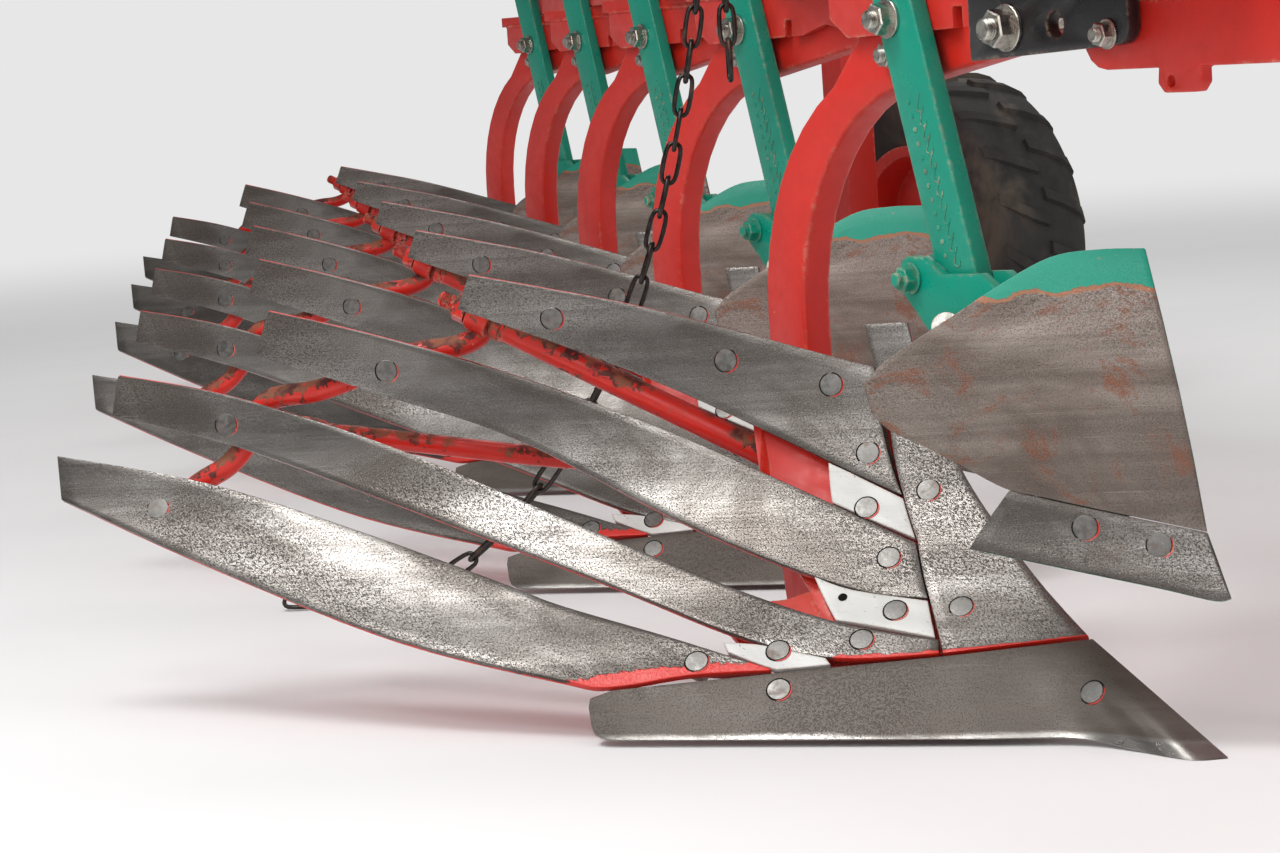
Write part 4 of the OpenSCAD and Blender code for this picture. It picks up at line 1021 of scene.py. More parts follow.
def head_gap():
    """Dark open ring round a flush head."""
    return lathe([(11.5, -0.5), (11.6, 0.2), (12.9, 0.2), (13.1, -0.5)], 28)


def paint_crescent():
    """Paint left in the lee of a head, thin at both ends."""
    rings = []
    steps = 14
    for k in range(steps + 1):
        u = k / steps
        a = math.radians(between(-62, 70, u))
        wide = 0.15 + 1.3 * math.sin(math.pi * u) ** 0.8
        rows = ((12.3, -0.4), (12.4, 0.4), (12.4 + wide, 0.35), (12.5 + wide, -0.4))
        rings.append([Vector((r * math.cos(a), r * math.sin(a), z)) for r, z in rows])
    return skin(rings)


def pressed_mark():
    """An open square hook pressed into a stem, raised at its rim."""
    corners = ((9, 4.4), (-7.6, 4.4), (-8.8, 3.4), (-8.8, -3.4), (-7.6, -4.4), (-2, -4.4))
    path = [(x, y, 0.2) for x, y in corners]
    return pipe(path, [0.5, 0.9, 0.9, 0.9, 0.9, 0.5], 6)


def wheel_nut():
    return joined(washer(15, 0, 3), hexagon(12, 3, 15), stud(7, 15, 24))


def tread_bar():
    """A rib across a farm tyre, swept back from the middle, in millimetres from the tread's middle."""
    rings = []
    for y, x, high in ((0, 0, 9), (30, 12, 9), (58, 26, 9), (76, 38, 6), (84, 44, 0)):
        drop = 10 * (abs(y) / 81) ** 3
        section = ((-13, -6), (-9, high), (9, high), (13, -6))
        rings.append([Vector((x + dx, y, dz - drop)) for dx, dz in section])
    return skin(rings)


def repeat_tree():
    """Geometry nodes: a part on every place, turned by its turn attribute, realised in one finish."""
    tree = bpy.data.node_groups.new("Repeated part", "GeometryNodeTree")
    face = tree.interface
    face.new_socket("Places", in_out="INPUT", socket_type="NodeSocketGeometry")
    face.new_socket("Part", in_out="INPUT", socket_type="NodeSocketObject")
    size = face.new_socket("Size", in_out="INPUT", socket_type="NodeSocketFloat")
    size.default_value = 1.0
    face.new_socket("Finish", in_out="INPUT", socket_type="NodeSocketMaterial")
    face.new_socket("Parts", in_out="OUTPUT", socket_type="NodeSocketGeometry")
    nodes, links = tree.nodes, tree.links
    start, end = nodes.new("NodeGroupInput"), nodes.new("NodeGroupOutput")
    part = nodes.new("GeometryNodeObjectInfo")
    turn = nodes.new("GeometryNodeInputNamedAttribute")
    turn.data_type = "FLOAT_VECTOR"
    turn.inputs["Name"].default_value = "turn"
    each = nodes.new("GeometryNodeInputNamedAttribute")
    each.data_type = "FLOAT"
    each.inputs["Name"].default_value = "size"
    rotate = nodes.new("FunctionNodeEulerToRotation")
    scale = nodes.new("ShaderNodeMath")
    scale.operation = "MULTIPLY"
    put = nodes.new("GeometryNodeInstanceOnPoints")
    real = nodes.new("GeometryNodeRealizeInstances")
    paint = nodes.new("GeometryNodeSetMaterial")
    links.new(start.outputs["Part"], part.inputs["Object"])
    links.new(start.outputs["Places"], put.inputs["Points"])
    links.new(part.outputs["Geometry"], put.inputs["Instance"])
    links.new(turn.outputs["Attribute"], rotate.inputs["Euler"])
    links.new(rotate.outputs["Rotation"], put.inputs["Rotation"])
    links.new(each.outputs["Attribute"], scale.inputs[0])
    links.new(start.outputs["Size"], scale.inputs[1])
    links.new(scale.outputs[0], put.inputs["Scale"])
    links.new(put.outputs["Instances"], real.inputs["Geometry"])
    links.new(real.outputs["Geometry"], paint.inputs["Geometry"])
    links.new(start.outputs["Finish"], paint.inputs["Material"])
    links.new(paint.outputs["Geometry"], end.inputs["Parts"])
    return tree


def repeated(name, shape, places, material, body="frame", size=1.0, smooth=32.0):
    """One mesh with the shape on every place; a place is a matrix, or a matrix and its own size."""
    tree = bpy.data.node_groups.get("Repeated part") or repeat_tree()
    part_mesh = outward_mesh(name + "_one", [Vector(p) * MM for p in shape[0]], shape[1])
    part = bpy.data.objects.new(name + "_one", part_mesh)
    places = [p if isinstance(p, tuple) else (p, 1.0) for p in places]
    mesh = bpy.data.meshes.new(name)
    mesh.from_pydata([tuple(m.translation) for m, _ in places], [], [])
    turns = [angle for matrix, _ in places for angle in matrix.to_euler("XYZ")]
    mesh.attributes.new("turn", "FLOAT_VECTOR", "POINT").data.foreach_set("vector", turns)
    mesh.attributes.new("size", "FLOAT", "POINT").data.foreach_set("value", [scale for _, scale in places])
    piece = bpy.data.objects.new(name, mesh)
    bpy.context.scene.collection.objects.link(piece)
    modifier = piece.modifiers.new("Repeat", "NODES")
    modifier.node_group = tree
    inputs = {s.name: s.identifier for s in tree.interface.items_tree if s.in_out == "INPUT"}
    modifier[inputs["Part"]] = part
    modifier[inputs["Size"]] = size
    modifier[inputs["Finish"]] = material
    mesh = baked(piece)
    bpy.data.objects.remove(part)
    soften(mesh, smooth)
    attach(piece, body)
    return piece


FINISHES = {}


def on_board(face, t, z, bottom, proud=0.0, spin=0.0):
    """On a face, pointing out of it."""
    out = -face.back(t, z)
    return aimed(world(face.point(t, z) + out * proud, bottom), out, spin)


def share_point(t, z):
    """On the share's face, under t of its upper joint and z up."""
    edge, top = lookup(t, SHARE_EDGE), BOARD.point(t, lookup(t, SHARE_JOINT) - 1.5 * GAP)
    return edge.lerp(top, (z - edge.z) / (top.z - edge.z))


def on_share(t, z, bottom):
    """On the share's face, pointing out of it."""
    along = share_point(t + 9, z) - share_point(t - 9, z)
    out = (share_point(t, z + 6) - share_point(t, z - 6)).cross(along).normalized()
    if out.z < 0:
        out = -out
    return aimed(world(share_point(t, z) + out * 0.3, bottom), out, HEAD_SPIN)


def ripple(path, radius):
    """A weld bead: a pipe whose radius swells with every pass of the torch."""
    points = [Vector(p) for p in path]
    fine = []
    for a, b in zip(points, points[1:]):
        n = max(1, round((b - a).length / 3.2))
        fine += [a.lerp(b, k / n) for k in range(n)]
    fine.append(points[-1])
    radii = [radius * (1 + 0.13 * math.sin(k * 1.9) + 0.06 * math.sin(k * 0.7)) for k in range(len(fine))]
    radii[0] = radii[-1] = radius * 0.6
    return pipe(fine, radii, 8)


def side_on(x, z, y, facing, bottom, spin=0.0):
    """On an upright side face of a bottom, pointing to the left for 1 and to the right for -1."""
    return aimed(world((x, y, z), bottom), (0, facing, 0), spin)


def behind(face, t, z, depth, bottom):
    """Behind a face, pointing away from it and turned by t."""
    return aimed(world(face.behind(t, z, depth), bottom), face.back(t, z), t)


def ring_bead(middle, axis, radius, thick):
    """A weld bead round a bar."""
    turn = aimed(middle, axis)
    path = [turn @ Vector((radius * math.cos(a), radius * math.sin(a), 0))
            for a in [math.radians(12 * k) for k in range(30)]]
    radii = [thick * (1 + 0.14 * math.sin(k * 2.1)) for k in range(30)]
    return pipe(path, radii, 8, closed=True)


def on_beam(along, across, z):
    """A point of the main beam's frame, millimetres over the floor."""
    return BEAM_START + BEAM_DIR * along + BEAM_SIDE * across + Vector((0, 0, z))


class PloughSizes(bpy.types.PropertyGroup):
    """Sizes of what is added to the solids."""

    board_bevel: bpy.props.FloatProperty(
        name="Board edge", description="Rounding of the edges of the board pieces", unit="LENGTH", min=0.0002,
        default=0.0011)
    plate_bevel: bpy.props.FloatProperty(
        name="Plate edge", description="Rounding of plate and tube edges", unit="LENGTH", min=0.0002,
        default=0.0022)
    leg_bevel: bpy.props.FloatProperty(
        name="Leg edge", description="Rounding of the forged legs", unit="LENGTH", min=0.0005, default=0.005)
    head_size: bpy.props.FloatProperty(
        name="Flush head", description="Size of the flush board bolts against 23 mm", subtype="FACTOR",
        min=0.5, max=1.5, default=1.0)
    weld: bpy.props.FloatProperty(
        name="Weld", description="Half width of a weld bead", unit="LENGTH", min=0.001, default=0.0045)
    tread_bars: bpy.props.IntProperty(
        name="Tread bars", description="Ribs on each half of the tyre", min=8, default=20)
    camera_lens: bpy.props.FloatProperty(
        name="Lens", description="Focal length of the camera", unit="CAMERA", min=20, default=94.78)


class PloughColours(bpy.types.PropertyGroup):
    """Colours of the finishes."""

    red: bpy.props.FloatVectorProperty(
        name="Frame paint", description="Paint of the frame and legs", subtype="COLOR",
        default=(0.68, 0.022, 0.012))
    green: bpy.props.FloatVectorProperty(
        name="Skimmer paint", description="Paint of the skimmer stems", subtype="COLOR",
        default=(0.0, 0.31, 0.205))
    steel: bpy.props.FloatVectorProperty(
        name="Polished steel", description="Board where soil polishes it", subtype="COLOR",
        default=(0.33, 0.315, 0.295))
    tarnish: bpy.props.FloatVectorProperty(
        name="Dull steel", description="Board where it has tarnished", subtype="COLOR",
        default=(0.15, 0.132, 0.118))
    liner: bpy.props.FloatVectorProperty(
        name="Liners", description="White plates between the slats", subtype="COLOR",
        default=(0.70, 0.70, 0.67))
    zinc: bpy.props.FloatVectorProperty(
        name="Zinc", description="Bolts and nuts", subtype="COLOR", default=(0.62, 0.60, 0.54))
    rubber: bpy.props.FloatVectorProperty(
        name="Rubber", description="Tyre", subtype="COLOR", default=(0.022, 0.021, 0.020))


class PLOUGH_OT_finishes(bpy.types.Operator):
    """Makes the materials"""

    bl_idname = "plough.finishes"
    bl_label = "Finishes"

    def execute(self, context):
        c = context.scene.plough_colours
        red, green = list(c.red), list(c.green)
        steel, tarnish = list(c.steel), list(c.tarnish)
        dark = [0.098, 0.082, 0.07]
        FINISHES["red"] = painted("red paint", red, 0.8)
        FINISHES["leg"] = painted("red paint on forgings", red, 1.0, gloss=0.36)
        FINISHES["bar"] = painted("flaking red paint", red, 0.8, gloss=0.34, flake=0.9)
        FINISHES["green"] = painted("green paint", green, 0.75, dust=0.15, gloss=0.3)
        FINISHES["black"] = painted("black paint", [0.012, 0.012, 0.014], 0.5, dust=0.3, gloss=0.3)
        FINISHES["board"] = soil_steel("polished board", steel, tarnish, red, 0.0)
        FINISHES["liner"] = liner_finish("white liner", list(c.liner))
        FINISHES["share"] = share_finish("share steel", steel, dark)
        FINISHES["skim_share"] = soil_steel(
            "skimmer share steel", steel, tarnish, green, 0.1, joint=False)
        FINISHES["skimmer"] = soil_steel(
            "skimmer steel", [0.33, 0.285, 0.25], [0.15, 0.118, 0.098], green, 0.8, 0.8, joint=False,
            metal=0.55, band=GREEN_BORDER)
        FINISHES["zinc"] = bare_metal("zinc", list(c.zinc), 0.35, 0.3, 1.6)
        FINISHES["bare"] = bare_metal("bare steel", [0.36, 0.35, 0.33], 0.5, 0.4)
        FINISHES["head"] = bare_metal("bolt heads", [0.27, 0.26, 0.245], 0.3, 0.42, 2.0)
        FINISHES["chain"] = bare_metal("chain steel", [0.085, 0.075, 0.07], 0.4, 0.34, 1.4)
        FINISHES["gap"] = bare_metal("dark gap", [0.03, 0.027, 0.024], 0.2, 0.7)
        FINISHES["rubber"] = tyre_rubber("tyre rubber", list(c.rubber))
        FINISHES["floor"] = stage_finish("pale floor", 0.8)
        return {"FINISHED"}


class PLOUGH_OT_frame(bpy.types.Operator):
    """Dresses the frame, the hitch, the plates and the stand"""

    bl_idname = "plough.frame"
    bl_label = "Frame and plates"

    def execute(self, context):
        size = context.scene.plough_sizes.plate_bevel / MM
        tubes = ("main_beam", "cross_beam", "brace_tube", "wheel_bracket", "wheel_post", "stand_sleeve",
                 "stand_leg")
        plates = ("gusset_plates", "mast_plates", "mast_stays", "drop_plates", "furrow_arm", "cheek_plates",
                  "stem_holders", "chain_hook", "wheel_rim")
        for node in tubes:
            dressed(node, FINISHES["red"], size * 1.6, 3)
        for node in plates:
            dressed(node, FINISHES["red"], size)
        corner = plate(BOARD, FROG_CORNER, SLAT_T + 0.2, FROG_BACK + 2, 0.05, 4, held=False)
        dressed("frogs", FINISHES["red"], size, cut=on_bottoms(corner))
        dressed("furrow_plate", FINISHES["black"], size)
        for node in ("hitch_shaft", "wheel_crank"):
            dressed(node, FINISHES["bare"], 1.5)
        return {"FINISHED"}


class PLOUGH_OT_legs(bpy.types.Operator):
    """Dresses the swan-neck legs with a forging's rounded edges"""

    bl_idname = "plough.legs"
    bl_label = "Legs"

    def execute(self, context):
        dressed("legs", FINISHES["leg"], context.scene.plough_sizes.leg_bevel / MM, 4)
        return {"FINISHED"}


class PLOUGH_OT_boards(bpy.types.Operator):
    """Builds slats, shins, fillers and shares as smooth soil-polished plates"""

    bl_idname = "plough.boards"
    bl_label = "Boards"

    def execute(self, context):
        edge = context.scene.plough_sizes.board_bevel / MM
        steel = FINISHES["board"]
        slats = joined(*[plate(BOARD, fair(rows), 0, SLAT_T, edge) for rows in SLATS])
        share = share_plate()
        for i in range(BOTTOMS):
            shape = on_bottoms(slats, [i])
            made = finished(f"slats_{i + 1}_worn", shape, steel, "frame", f"slats_{i + 1}", 32)
            laid_out(made, BOARD, [i])
            shape = on_bottoms(share, [i])
            made = finished(f"share_{i + 1}_worn", shape, FINISHES["share"], "frame",
                            f"share_{i + 1}", 32)
            laid_out_share(made, i)
        shape = on_bottoms(shin_plate())
        laid_out(finished("shins_worn", shape, steel, "frame", "shins", 32), BOARD)
        fillers = joined(*[plate(BOARD, fair(rows, 4), 0.5, SLAT_T, 0.8, 6) for rows in FILLERS])
        made = finished("fillers_worn", on_bottoms(fillers), FINISHES["liner"], "frame",
                        "fillers", 32)
        laid_out(made, BOARD)
        dressed("landsides", FINISHES["bare"], 1.5)
        return {"FINISHED"}


class PLOUGH_OT_skimmers(bpy.types.Operator):
    """Builds the skimmers and dresses their stems and brackets, with the stems' pressed marks"""

    bl_idname = "plough.skimmers"
    bl_label = "Skimmers"

    def execute(self, context):
        board = plate(SKIM, smooth_path(SKIM_ROWS, 5), 0, SKIM_T, 1.0, 12, held=False)
        share = plate(SKIM, smooth_path(SKIM_SHARE_ROWS, 5), 0, SKIM_T + 1, 1.0, 6, held=False)
        for name, node, shape, steel in (
                ("skimmer_boards_worn", "skimmer_boards", board, FINISHES["skimmer"]),
                ("skimmer_shares_worn", "skimmer_shares", share, FINISHES["skim_share"])):
            made = finished(name, on_bottoms(shape), steel, "frame", node, 32)
            laid_out(made, SKIM)
        dressed("skimmer_stems", FINISHES["green"], 2.4, 3)
        dressed("skimmer_brackets", FINISHES["green"], 1.4, 2)
        marks, dots = [], []
        for b in range(BOTTOMS):
            for k in range(MARK_COUNT):
                z = MARK_FOOT + k * MARK_STEP
                x = STEM_FOOT[0] - (z - STEM_FOOT[1]) * STEM_SLOPE
                marks.append(side_on(x + 9, z, STEM_FACE, -1, b, -17))
                dots.append(side_on(x - 11, z + 1, STEM_FACE, -1, b))
        green = FINISHES["green"]
        repeated("stem_marks", pressed_mark(), marks, green)
        dot = lathe([(2.9, -0.5), (2.6, 0.7), (1.4, 1.3), (0, 1.4)], 10)
        repeated("stem_dots", dot, dots, green)
        return {"FINISHED"}


class PLOUGH_OT_rods(bpy.types.Operator):
    """Builds the adjusting rods, tail brackets and lower stays as smooth bars"""

    bl_idname = "plough.rods"
    bl_label = "Rods and stays"

    def execute(self, context):
        start, axis = rod_line()
        rod = moved(adjusting_rod(), aimed(start, axis))
        for name, node, shape in (
                ("adjusting_rods_painted", "adjusting_rods", rod),
                ("tail_brackets_painted", "tail_brackets", tail_bracket()),
                ("lower_stays_painted", "lower_stays", lower_stay())):
            finished(name, on_bottoms(shape), FINISHES["bar"], "frame", node, 42)
        return {"FINISHED"}


class PLOUGH_OT_wheel(bpy.types.Operator):
    """Builds the depth wheel's tyre with its tread and sets the wheel's nuts and cap"""

    bl_idname = "plough.wheel"
    bl_label = "Depth wheel"

    def execute(self, context):
        count = context.scene.plough_sizes.tread_bars
        middle = framed(WHEEL)
        section = list(TYRE_HALF) + [(r, -y) for r, y in reversed(TYRE_HALF[:-1])]
        section += [(166, -40), (166, 40)]
        angles = [2 * math.pi * k / TYRE_STEPS for k in range(TYRE_STEPS)]
        rings = [[Vector((r * math.cos(a), y, r * math.sin(a))) for r, y in section] for a in angles]
        points, faces = skin(rings, closed=True)
        shape = ([middle + p * MM for p in points], faces)
        finished("wheel_tyre_rubber", shape, FINISHES["rubber"], "wheel", "wheel_tyre", 50)
        spots = []
        for k in range(2 * count):
            turn = Matrix.Rotation(math.pi * k / count, 4, "Y")
            flip = Matrix.Rotation(math.pi * (k % 2), 4, "Z")
            out = Matrix.Translation((0, 0, TYRE_RADIUS * MM))
            spots.append(Matrix.Translation(middle) @ turn @ out @ flip)
        repeated("tyre_bars", tread_bar(), spots, FINISHES["rubber"], "wheel")
        nuts = []
        for k in range(WHEEL_NUTS):
            turn = 360 / WHEEL_NUTS * k
            a = math.radians(turn + 30)
            spot = Vector((NUT_CIRCLE * math.cos(a), 6, NUT_CIRCLE * math.sin(a)))
            nuts.append(aimed(middle + spot * MM, (0, 1, 0), turn))
        repeated("wheel_nuts", wheel_nut(), nuts, FINISHES["zinc"], "wheel")
        cap = lathe([(45, 0), (45, 3), (36, 4), (35, 20), (30, 26), (18, 29), (0, 30)], 32)
        repeated("hub_cap", cap, [aimed(middle + Vector((0, 60.2, 0)) * MM, (0, 1, 0))], FINISHES["red"],
                 "wheel")
        stem = lathe([(4, 0), (4, 14), (5.2, 15), (5.2, 26), (3.5, 28), (0, 28)], 12)
        place = aimed(middle + Vector((0, 66, 152)) * MM, (0, 0.75, -0.66))
        repeated("valve", stem, [place], FINISHES["chain"], "wheel")
        return {"FINISHED"}


class PLOUGH_OT_fasteners(bpy.types.Operator):
    """Bolts, nuts and studs on the bottoms, as on the photographed plough"""

    bl_idname = "plough.fasteners"
    bl_label = "Fasteners"

    def execute(self, context):
        nuts, heads, green, red, rear = [], [], [], [], []
        for b in range(BOTTOMS):
            nuts.append((side_on(*STEM_BOLT, STEM_FACE, -1, b, 12), 1.15))
            nuts.append((side_on(*LEG_BOLT, LEG_FACE, -1, b, 25), 0.92))
            nuts.append((side_on(*CHEEK_BOLT, CHEEK_FACE, -1, b, 8), 1.1))
            heads.append((side_on(*CHEEK_BOLT, LEG_LEFT + 12, 1, b), 1.1))
            heads.append((side_on(*LEG_BOLT, LEG_LEFT, 1, b), 0.92))
            for k, (x, z) in enumerate(FROG_LEG_BOLTS):
                nuts.append((side_on(x, z, CHEEK_FACE, -1, b, 30 * k), 0.85))
                heads.append((side_on(x, z, LEG_LEFT, 1, b, 15), 0.85))
            green.append((side_on(*EAR, EAR_FACE, -1, b, 20), 0.92))
            green.append((side_on(*EAR, EAR_LEFT, 1, b, 5), 0.92))
            clamp_out = SKIM.back(*CLAMP_BOLT)
            for depth in CLAMP_DEPTHS:
                nuts.append((aimed(world(SKIM.behind(*CLAMP_BOLT, depth), b), clamp_out, depth), 0.86))
            rear += [(behind(SKIM, t, z, SKIM_T + 0.5, b), 0.8) for t, z in SKIM_BOLTS]
            rear += [(behind(BOARD, t, z, FROG_BACK, b), 0.86) for t, z in FROG_BOLTS]
            rear += [(behind(BOARD, t, z, SLAT_T, b), 0.86) for t, z in SLAT_BACK_BOLTS]
            rear += [(behind(BOARD, t, z, TAIL_PAD_BACK, b), 0.86) for t, z in TAIL_PADS]
            red += [(behind(BOARD, t, z, depth, b), 0.85) for t, z, depth in STAY_BOLTS]
            heads += [(side_on(x, LANDSIDE_Z, LANDSIDE_FACE, -1, b, x), 0.6) for x in LANDSIDE_BOLTS]
        repeated("bottom_nuts", nut_on_stud(), nuts, FINISHES["zinc"])
        repeated("bottom_heads", bolt_head(), heads, FINISHES["zinc"])
        repeated("bracket_bolts", nut_on_stud(), green, FINISHES["green"])
        repeated("stay_bolts", lock_nut(), red, FINISHES["red"])
        repeated("board_nuts", lock_nut(), rear, FINISHES["zinc"])
        flush = [(side_on(x, LANDSIDE_Z, -0.2, 1, b), 0.66) for b in range(BOTTOMS) for x in LANDSIDE_BOLTS]
        repeated("landside_bolts", plough_head(), flush, FINISHES["chain"])
        return {"FINISHED"}


class PLOUGH_OT_fittings(bpy.types.Operator):
    """Bolts, pins and caps of the frame, the hitch, the plate, the stand and the crank"""

    bl_idname = "plough.fittings"
    bl_label = "Frame fittings"

    def execute(self, context):
        nuts, heads, painted_nuts = [], [], []
        up, forward, rearward, right, left = (0, 0, 1), (1, 0, 0), (-1, 0, 0), (0, -1, 0), (0, 1, 0)
        nuts.append((aimed(framed((-130, PLATE_FACE, 683)), right, 10), 1.3))
        heads.append((aimed(framed((-130, PLATE_BACK, 683)), left), 1.3))
        nuts.append((aimed(framed((14, PLATE_FACE, 672)), right, 18), 0.8))
        painted_nuts += [(aimed(framed((x, PLATE_FACE, 735)), right, 30), 1.0) for x in (-150, 5)]
        for x, y in GUSSET_BOLTS:
            heads.append((aimed(framed((x, y, BEAM_TOP + GUSSET_T)), up, x), 1.25))
        for x, y in REAR_GUSSET_BOLTS:
            heads.append((aimed(framed((x, y, REAR_GUSSET_TOP)), up, y), 1.0))
        for y in (622, 743):
            heads += [(aimed(framed((48, y, z)), rearward, z), 0.9) for z in (778, 882)]
        for x, y, z in STAY_FEET:
            heads += [(aimed(framed((x + dx, y + dy, z + GUSSET_T)), up, dx), 0.7)
                      for dx in (-48, 48) for dy in (-24, 24)]
        x, z = MAST_PIN
        for y, facing in ((MAST_SIDES[0], right), (MAST_SIDES[-1], left)):
            painted_nuts.append((aimed(framed((x, y, z)), facing), 1.3))
        repeated("frame_nuts", nut_on_stud(), nuts, FINISHES["zinc"])
        repeated("frame_heads", bolt_head(), heads, FINISHES["zinc"])
        repeated("frame_painted_nuts", nut_on_stud(), painted_nuts, FINISHES["red"])
        pins = [aimed(framed((HITCH_X, HITCH_Y + side * LINK_PIN_REACH, LINK_PIN_Z)), up) for side in (-1, 1)]
        pin = lathe([(0, -30), (3, -30), (5.4, -26), (5.4, 24), (9, 25), (9, 31), (0, 32)], 16)
        angles = [math.radians(20 * k) for k in range(18)]
        ring = pipe([(30 * math.sin(a), 0, 2 + 30 * math.cos(a)) for a in angles], 1.9, 8, closed=True)
        repeated("linch_pins", joined(pin, ring), pins, FINISHES["zinc"])
        knob = lathe([(0, 0), (10, 0), (13, 3), (13.5, 48), (11.5, 55), (0, 58)], 20)
        place = aimed(framed((WHEEL[0] - 110, POST_Y, CRANK_Z + 34)), up)
        repeated("crank_grip", knob, [place], FINISHES["black"], body_of("wheel_crank"))
        pin = lathe([(0, 0), (14, 0), (14, 5), (8, 6), (8, 16), (12, 17), (12, 20), (0, 21)], 18)
        grip = pipe(smooth_path([(0, -4, 18), (0, -34, 20), (0, -42, 12), (0, -34, 6)], 4), 3, 8)
        place = aimed(framed(STAND_PIN), left)
        repeated("stand_pin", joined(pin, grip), [place], FINISHES["zinc"])
        tip = lathe([(3, 4.5), (2.2, 8), (3.2, 10), (2.2, 12.5), (0, 13)], 10)
        nipple = joined(hexagon(5, 0, 5, 0.8), tip)
        spots = [aimed(framed((WHEEL[0] + 35.6, POST_Y + 12, 1100)), forward),
                 aimed(framed((WHEEL[0] + 35.6, POST_Y - 12, 800)), forward)]
        repeated("grease_nipples", nipple, spots, FINISHES["zinc"])
        return {"FINISHED"}


class PLOUGH_OT_welds(bpy.types.Operator):
    """Lays weld beads where frame parts meet"""

    bl_idname = "plough.welds"
    bl_label = "Welds"

    def execute(self, context):
        size = context.scene.plough_sizes.weld / MM
        beads = []
        beads += [[(CROSS_FACE, y, 758), (CROSS_FACE, y, 902)] for y in MAST_SIDES]
        beads += [[(CROSS_FACE, y, 762), (CROSS_FACE, y, 898)] for y in DROP_SIDES]
        beads.append([(59, -236, 760), (59, -236, 900), (59, -83, 900), (59, -83, 760), (59, -236, 760)])
        beads.append([(46, 640, 780), (46, 640, 880), (46, 740, 880), (46, 740, 780), (46, 640, 780)])
        cap = [(s * 70, z) for s, z in ((-1, 760), (-1, 900), (1, 900), (1, 760), (-1, 760))]
        beads.append([on_beam(BEAM_REAR - 1, across, z) for across, z in cap])
        x, side = WHEEL[0], POST_Y - 35
        outline = ((-50, 780), (-50, 880), (50, 880), (50, 780), (-50, 780))
        beads.append([(x + dx, side, z) for dx, z in outline])
        for dx in (-6, 6):
            beads.append([(x + dx, side - 160, 881), (x + dx, side, 881), (x + dx, side, 1066)])
        beads += [[(x, STAND_SIDE, 720), (x, STAND_SIDE, 940)] for x in (105, 155)]
        points, faces = joined(*[ripple(path, size) for path in beads])
        shape = ([framed(p) for p in points], faces)
        finished("frame_welds", shape, FINISHES["red"], "frame")
        runs = []
        for b in range(BOTTOMS):
            for path in (
                    [(-500, CHEEK_FACE + 0.8, 733), (-92, CHEEK_FACE + 0.8, 733)],
                    [(x, LEG_FACE, z) for x, z in ((-672, 228), (-672, 300), (-622, 338), (-578, 338))],
                    [(-645, CHEEK_FACE + 12, 30.5), (-265, CHEEK_FACE + 12, 30.5)]):
                run = ripple(path, size * 0.8)
                runs.append(([world(p, b) for p in run[0]], run[1]))
            t, z = ROD_FOOT
            foot = ring_bead(BOARD.behind(t, z, FROG_BACK), BOARD.back(t, z), 20.5, size * 0.8)
            runs.append(([world(p, b) for p in foot[0]], foot[1]))
        finished("bottom_welds", joined(*runs), FINISHES["red"], "frame")
        return {"FINISHED"}


class PLOUGH_OT_chain(bpy.types.Operator):
    """Rounds the links of the hanging chain"""

    bl_idname = "plough.chain"
    bl_label = "Chain"

    def execute(self, context):
        chain = dressed("drag_chain", FINISHES["chain"], 0, flat=0.0)
        bm = bmesh.new()
        bm.from_mesh(chain.data)
        bmesh.ops.join_triangles(bm, faces=bm.faces, angle_face_threshold=0.6, angle_shape_threshold=1.2)
        bm.to_mesh(chain.data)
        bm.free()
        chain.modifiers.new("Round wire", "SUBSURF").levels = 1
        soften(baked(chain), 180)
        return {"FINISHED"}


class PLOUGH_OT_board_bolts(bpy.types.Operator):
    """Sets flush plough bolts in the boards"""

    bl_idname = "plough.board_bolts"
    bl_label = "Board bolts"

    def execute(self, context):
        size = context.scene.plough_sizes.head_size
        spots = []
        for b in range(BOTTOMS):
            spots += [on_board(BOARD, t, z, b, 0.0, HEAD_SPIN) for t, z in FACE_BOLTS]
            spots += [on_share(t, z, b) for t, z in SHARE_BOLTS]
            spots += [on_board(SKIM, t, z, b, 0.0, HEAD_SPIN) for t, z in SKIM_BOLTS]
        # painted shade: a near-black disc on the liner stands for the shaded inside of an empty bolt hole
        holes = [on_board(BOARD, *LINER_HOLE, b, -0.4) for b in range(BOTTOMS)]
        hole = lathe([(0, 0.2), (3.6, 0.2), (4.4, 0.75), (4.8, 0.2)], 18)
        repeated("liner_holes", hole, holes, FINISHES["gap"])
        repeated("board_bolts", plough_head(), spots, FINISHES["head"], size=size)
        repeated("board_bolt_gaps", head_gap(), spots, FINISHES["gap"], size=size)
        repeated("board_bolt_paint", paint_crescent(), spots, FINISHES["red"], size=size)
        return {"FINISHED"}


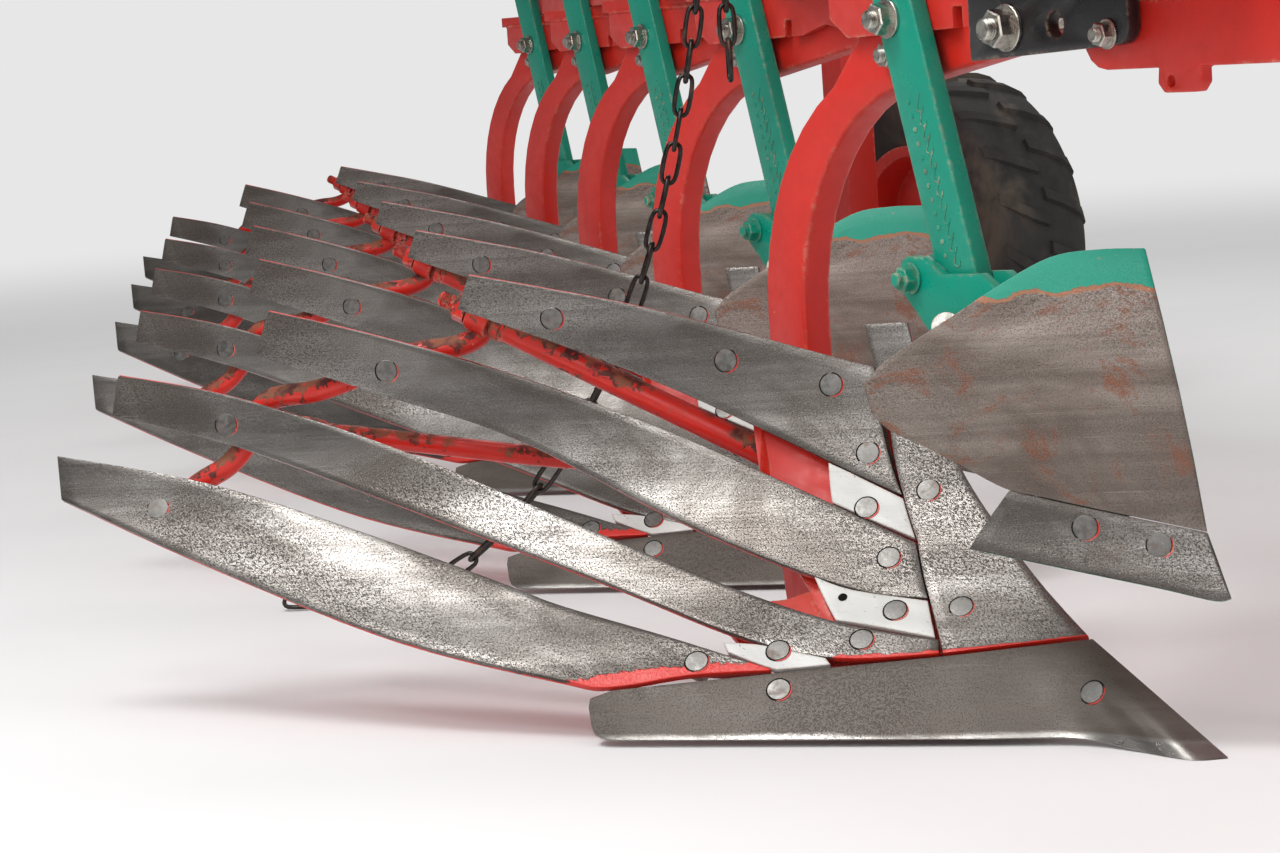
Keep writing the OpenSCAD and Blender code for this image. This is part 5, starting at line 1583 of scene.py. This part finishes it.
class PLOUGH_OT_stage(bpy.types.Operator):
    """Sets the floor, the light and the camera"""

    bl_idname = "plough.stage"
    bl_label = "Stage"

    def execute(self, context):
        scene = context.scene
        ring = lathe([(0, 0), (2, 0), (5, 0), (9, 0), (14, 0), (40, 0)], 64)
        floor = mesh_piece("floor", moved(ring, Matrix.Translation((0, 0, -0.0005))), FINISHES["floor"], 60)
        if floor.data.polygons[0].normal.z < 0:
            floor.data.flip_normals()
        studio = bpy.data.worlds.new("studio")
        scene.world = studio
        studio.use_nodes = True
        tree = studio.node_tree
        back = tree.nodes["Background"]
        back.inputs["Color"].default_value = (1.0, 1.0, 1.0, 1)
        path = tree.nodes.new("ShaderNodeLightPath")
        dim = tree.nodes.new("ShaderNodeMix")
        dim.inputs[2].default_value = ROOM_LIGHT
        dim.inputs[3].default_value = ROOM_GLINT
        tree.links.new(path.outputs["Is Glossy Ray"], dim.inputs[0])
        show = tree.nodes.new("ShaderNodeMix")
        show.inputs[3].default_value = BACKDROP
        tree.links.new(path.outputs["Is Camera Ray"], show.inputs[0])
        tree.links.new(dim.outputs[0], show.inputs[2])
        tree.links.new(show.outputs[0], back.inputs["Strength"])
        target = world(LAMP_TARGET)
        for name, spot, width, power in LAMPS:
            lamp = bpy.data.lights.new(name, "AREA")
            lamp.size = width
            lamp.energy = power
            place = bpy.data.objects.new(name, lamp)
            scene.collection.objects.link(place)
            place.location = target + spot
            place.rotation_euler = (-spot).to_track_quat("-Z", "Y").to_euler()
        eye = bpy.data.cameras.new("camera")
        eye.lens = scene.plough_sizes.camera_lens
        eye.sensor_width = 36
        eye.clip_end = 200
        holder = bpy.data.objects.new("camera", eye)
        scene.collection.objects.link(holder)
        holder.location = world(CAMERA_PLACE)
        holder.rotation_euler = [math.radians(v) for v in CAMERA_TURN]
        scene.camera = holder
        scene.view_settings.view_transform = "Standard"
        return {"FINISHED"}


OPERATORS = (
    PLOUGH_OT_finishes, PLOUGH_OT_frame, PLOUGH_OT_legs, PLOUGH_OT_boards, PLOUGH_OT_skimmers, PLOUGH_OT_rods,
    PLOUGH_OT_chain, PLOUGH_OT_wheel, PLOUGH_OT_board_bolts, PLOUGH_OT_fasteners, PLOUGH_OT_fittings,
    PLOUGH_OT_welds, PLOUGH_OT_stage,
)


class PLOUGH_PT_panel(bpy.types.Panel):
    """Sizes, colours and steps of the plough"""

    bl_idname = "PLOUGH_PT_panel"
    bl_label = "Plough"
    bl_space_type = "VIEW_3D"
    bl_region_type = "UI"
    bl_category = "Plough"

    def draw(self, context):
        for group in (context.scene.plough_sizes, context.scene.plough_colours):
            box = self.layout.box()
            for key in group.__annotations__:
                box.prop(group, key)
        for operator in OPERATORS:
            self.layout.operator(operator.bl_idname)


CLASSES = (PloughSizes, PloughColours, *OPERATORS, PLOUGH_PT_panel)


def register():
    for cls in CLASSES:
        bpy.utils.register_class(cls)
    bpy.types.Scene.plough_sizes = bpy.props.PointerProperty(type=PloughSizes)
    bpy.types.Scene.plough_colours = bpy.props.PointerProperty(type=PloughColours)


def unregister():
    del bpy.types.Scene.plough_colours
    del bpy.types.Scene.plough_sizes
    for cls in reversed(CLASSES):
        bpy.utils.unregister_class(cls)


def main():
    register()
    for operator in OPERATORS:
        group, name = operator.bl_idname.split(".")
        getattr(getattr(bpy.ops, group), name)()


if __name__ == "__main__":
    main()
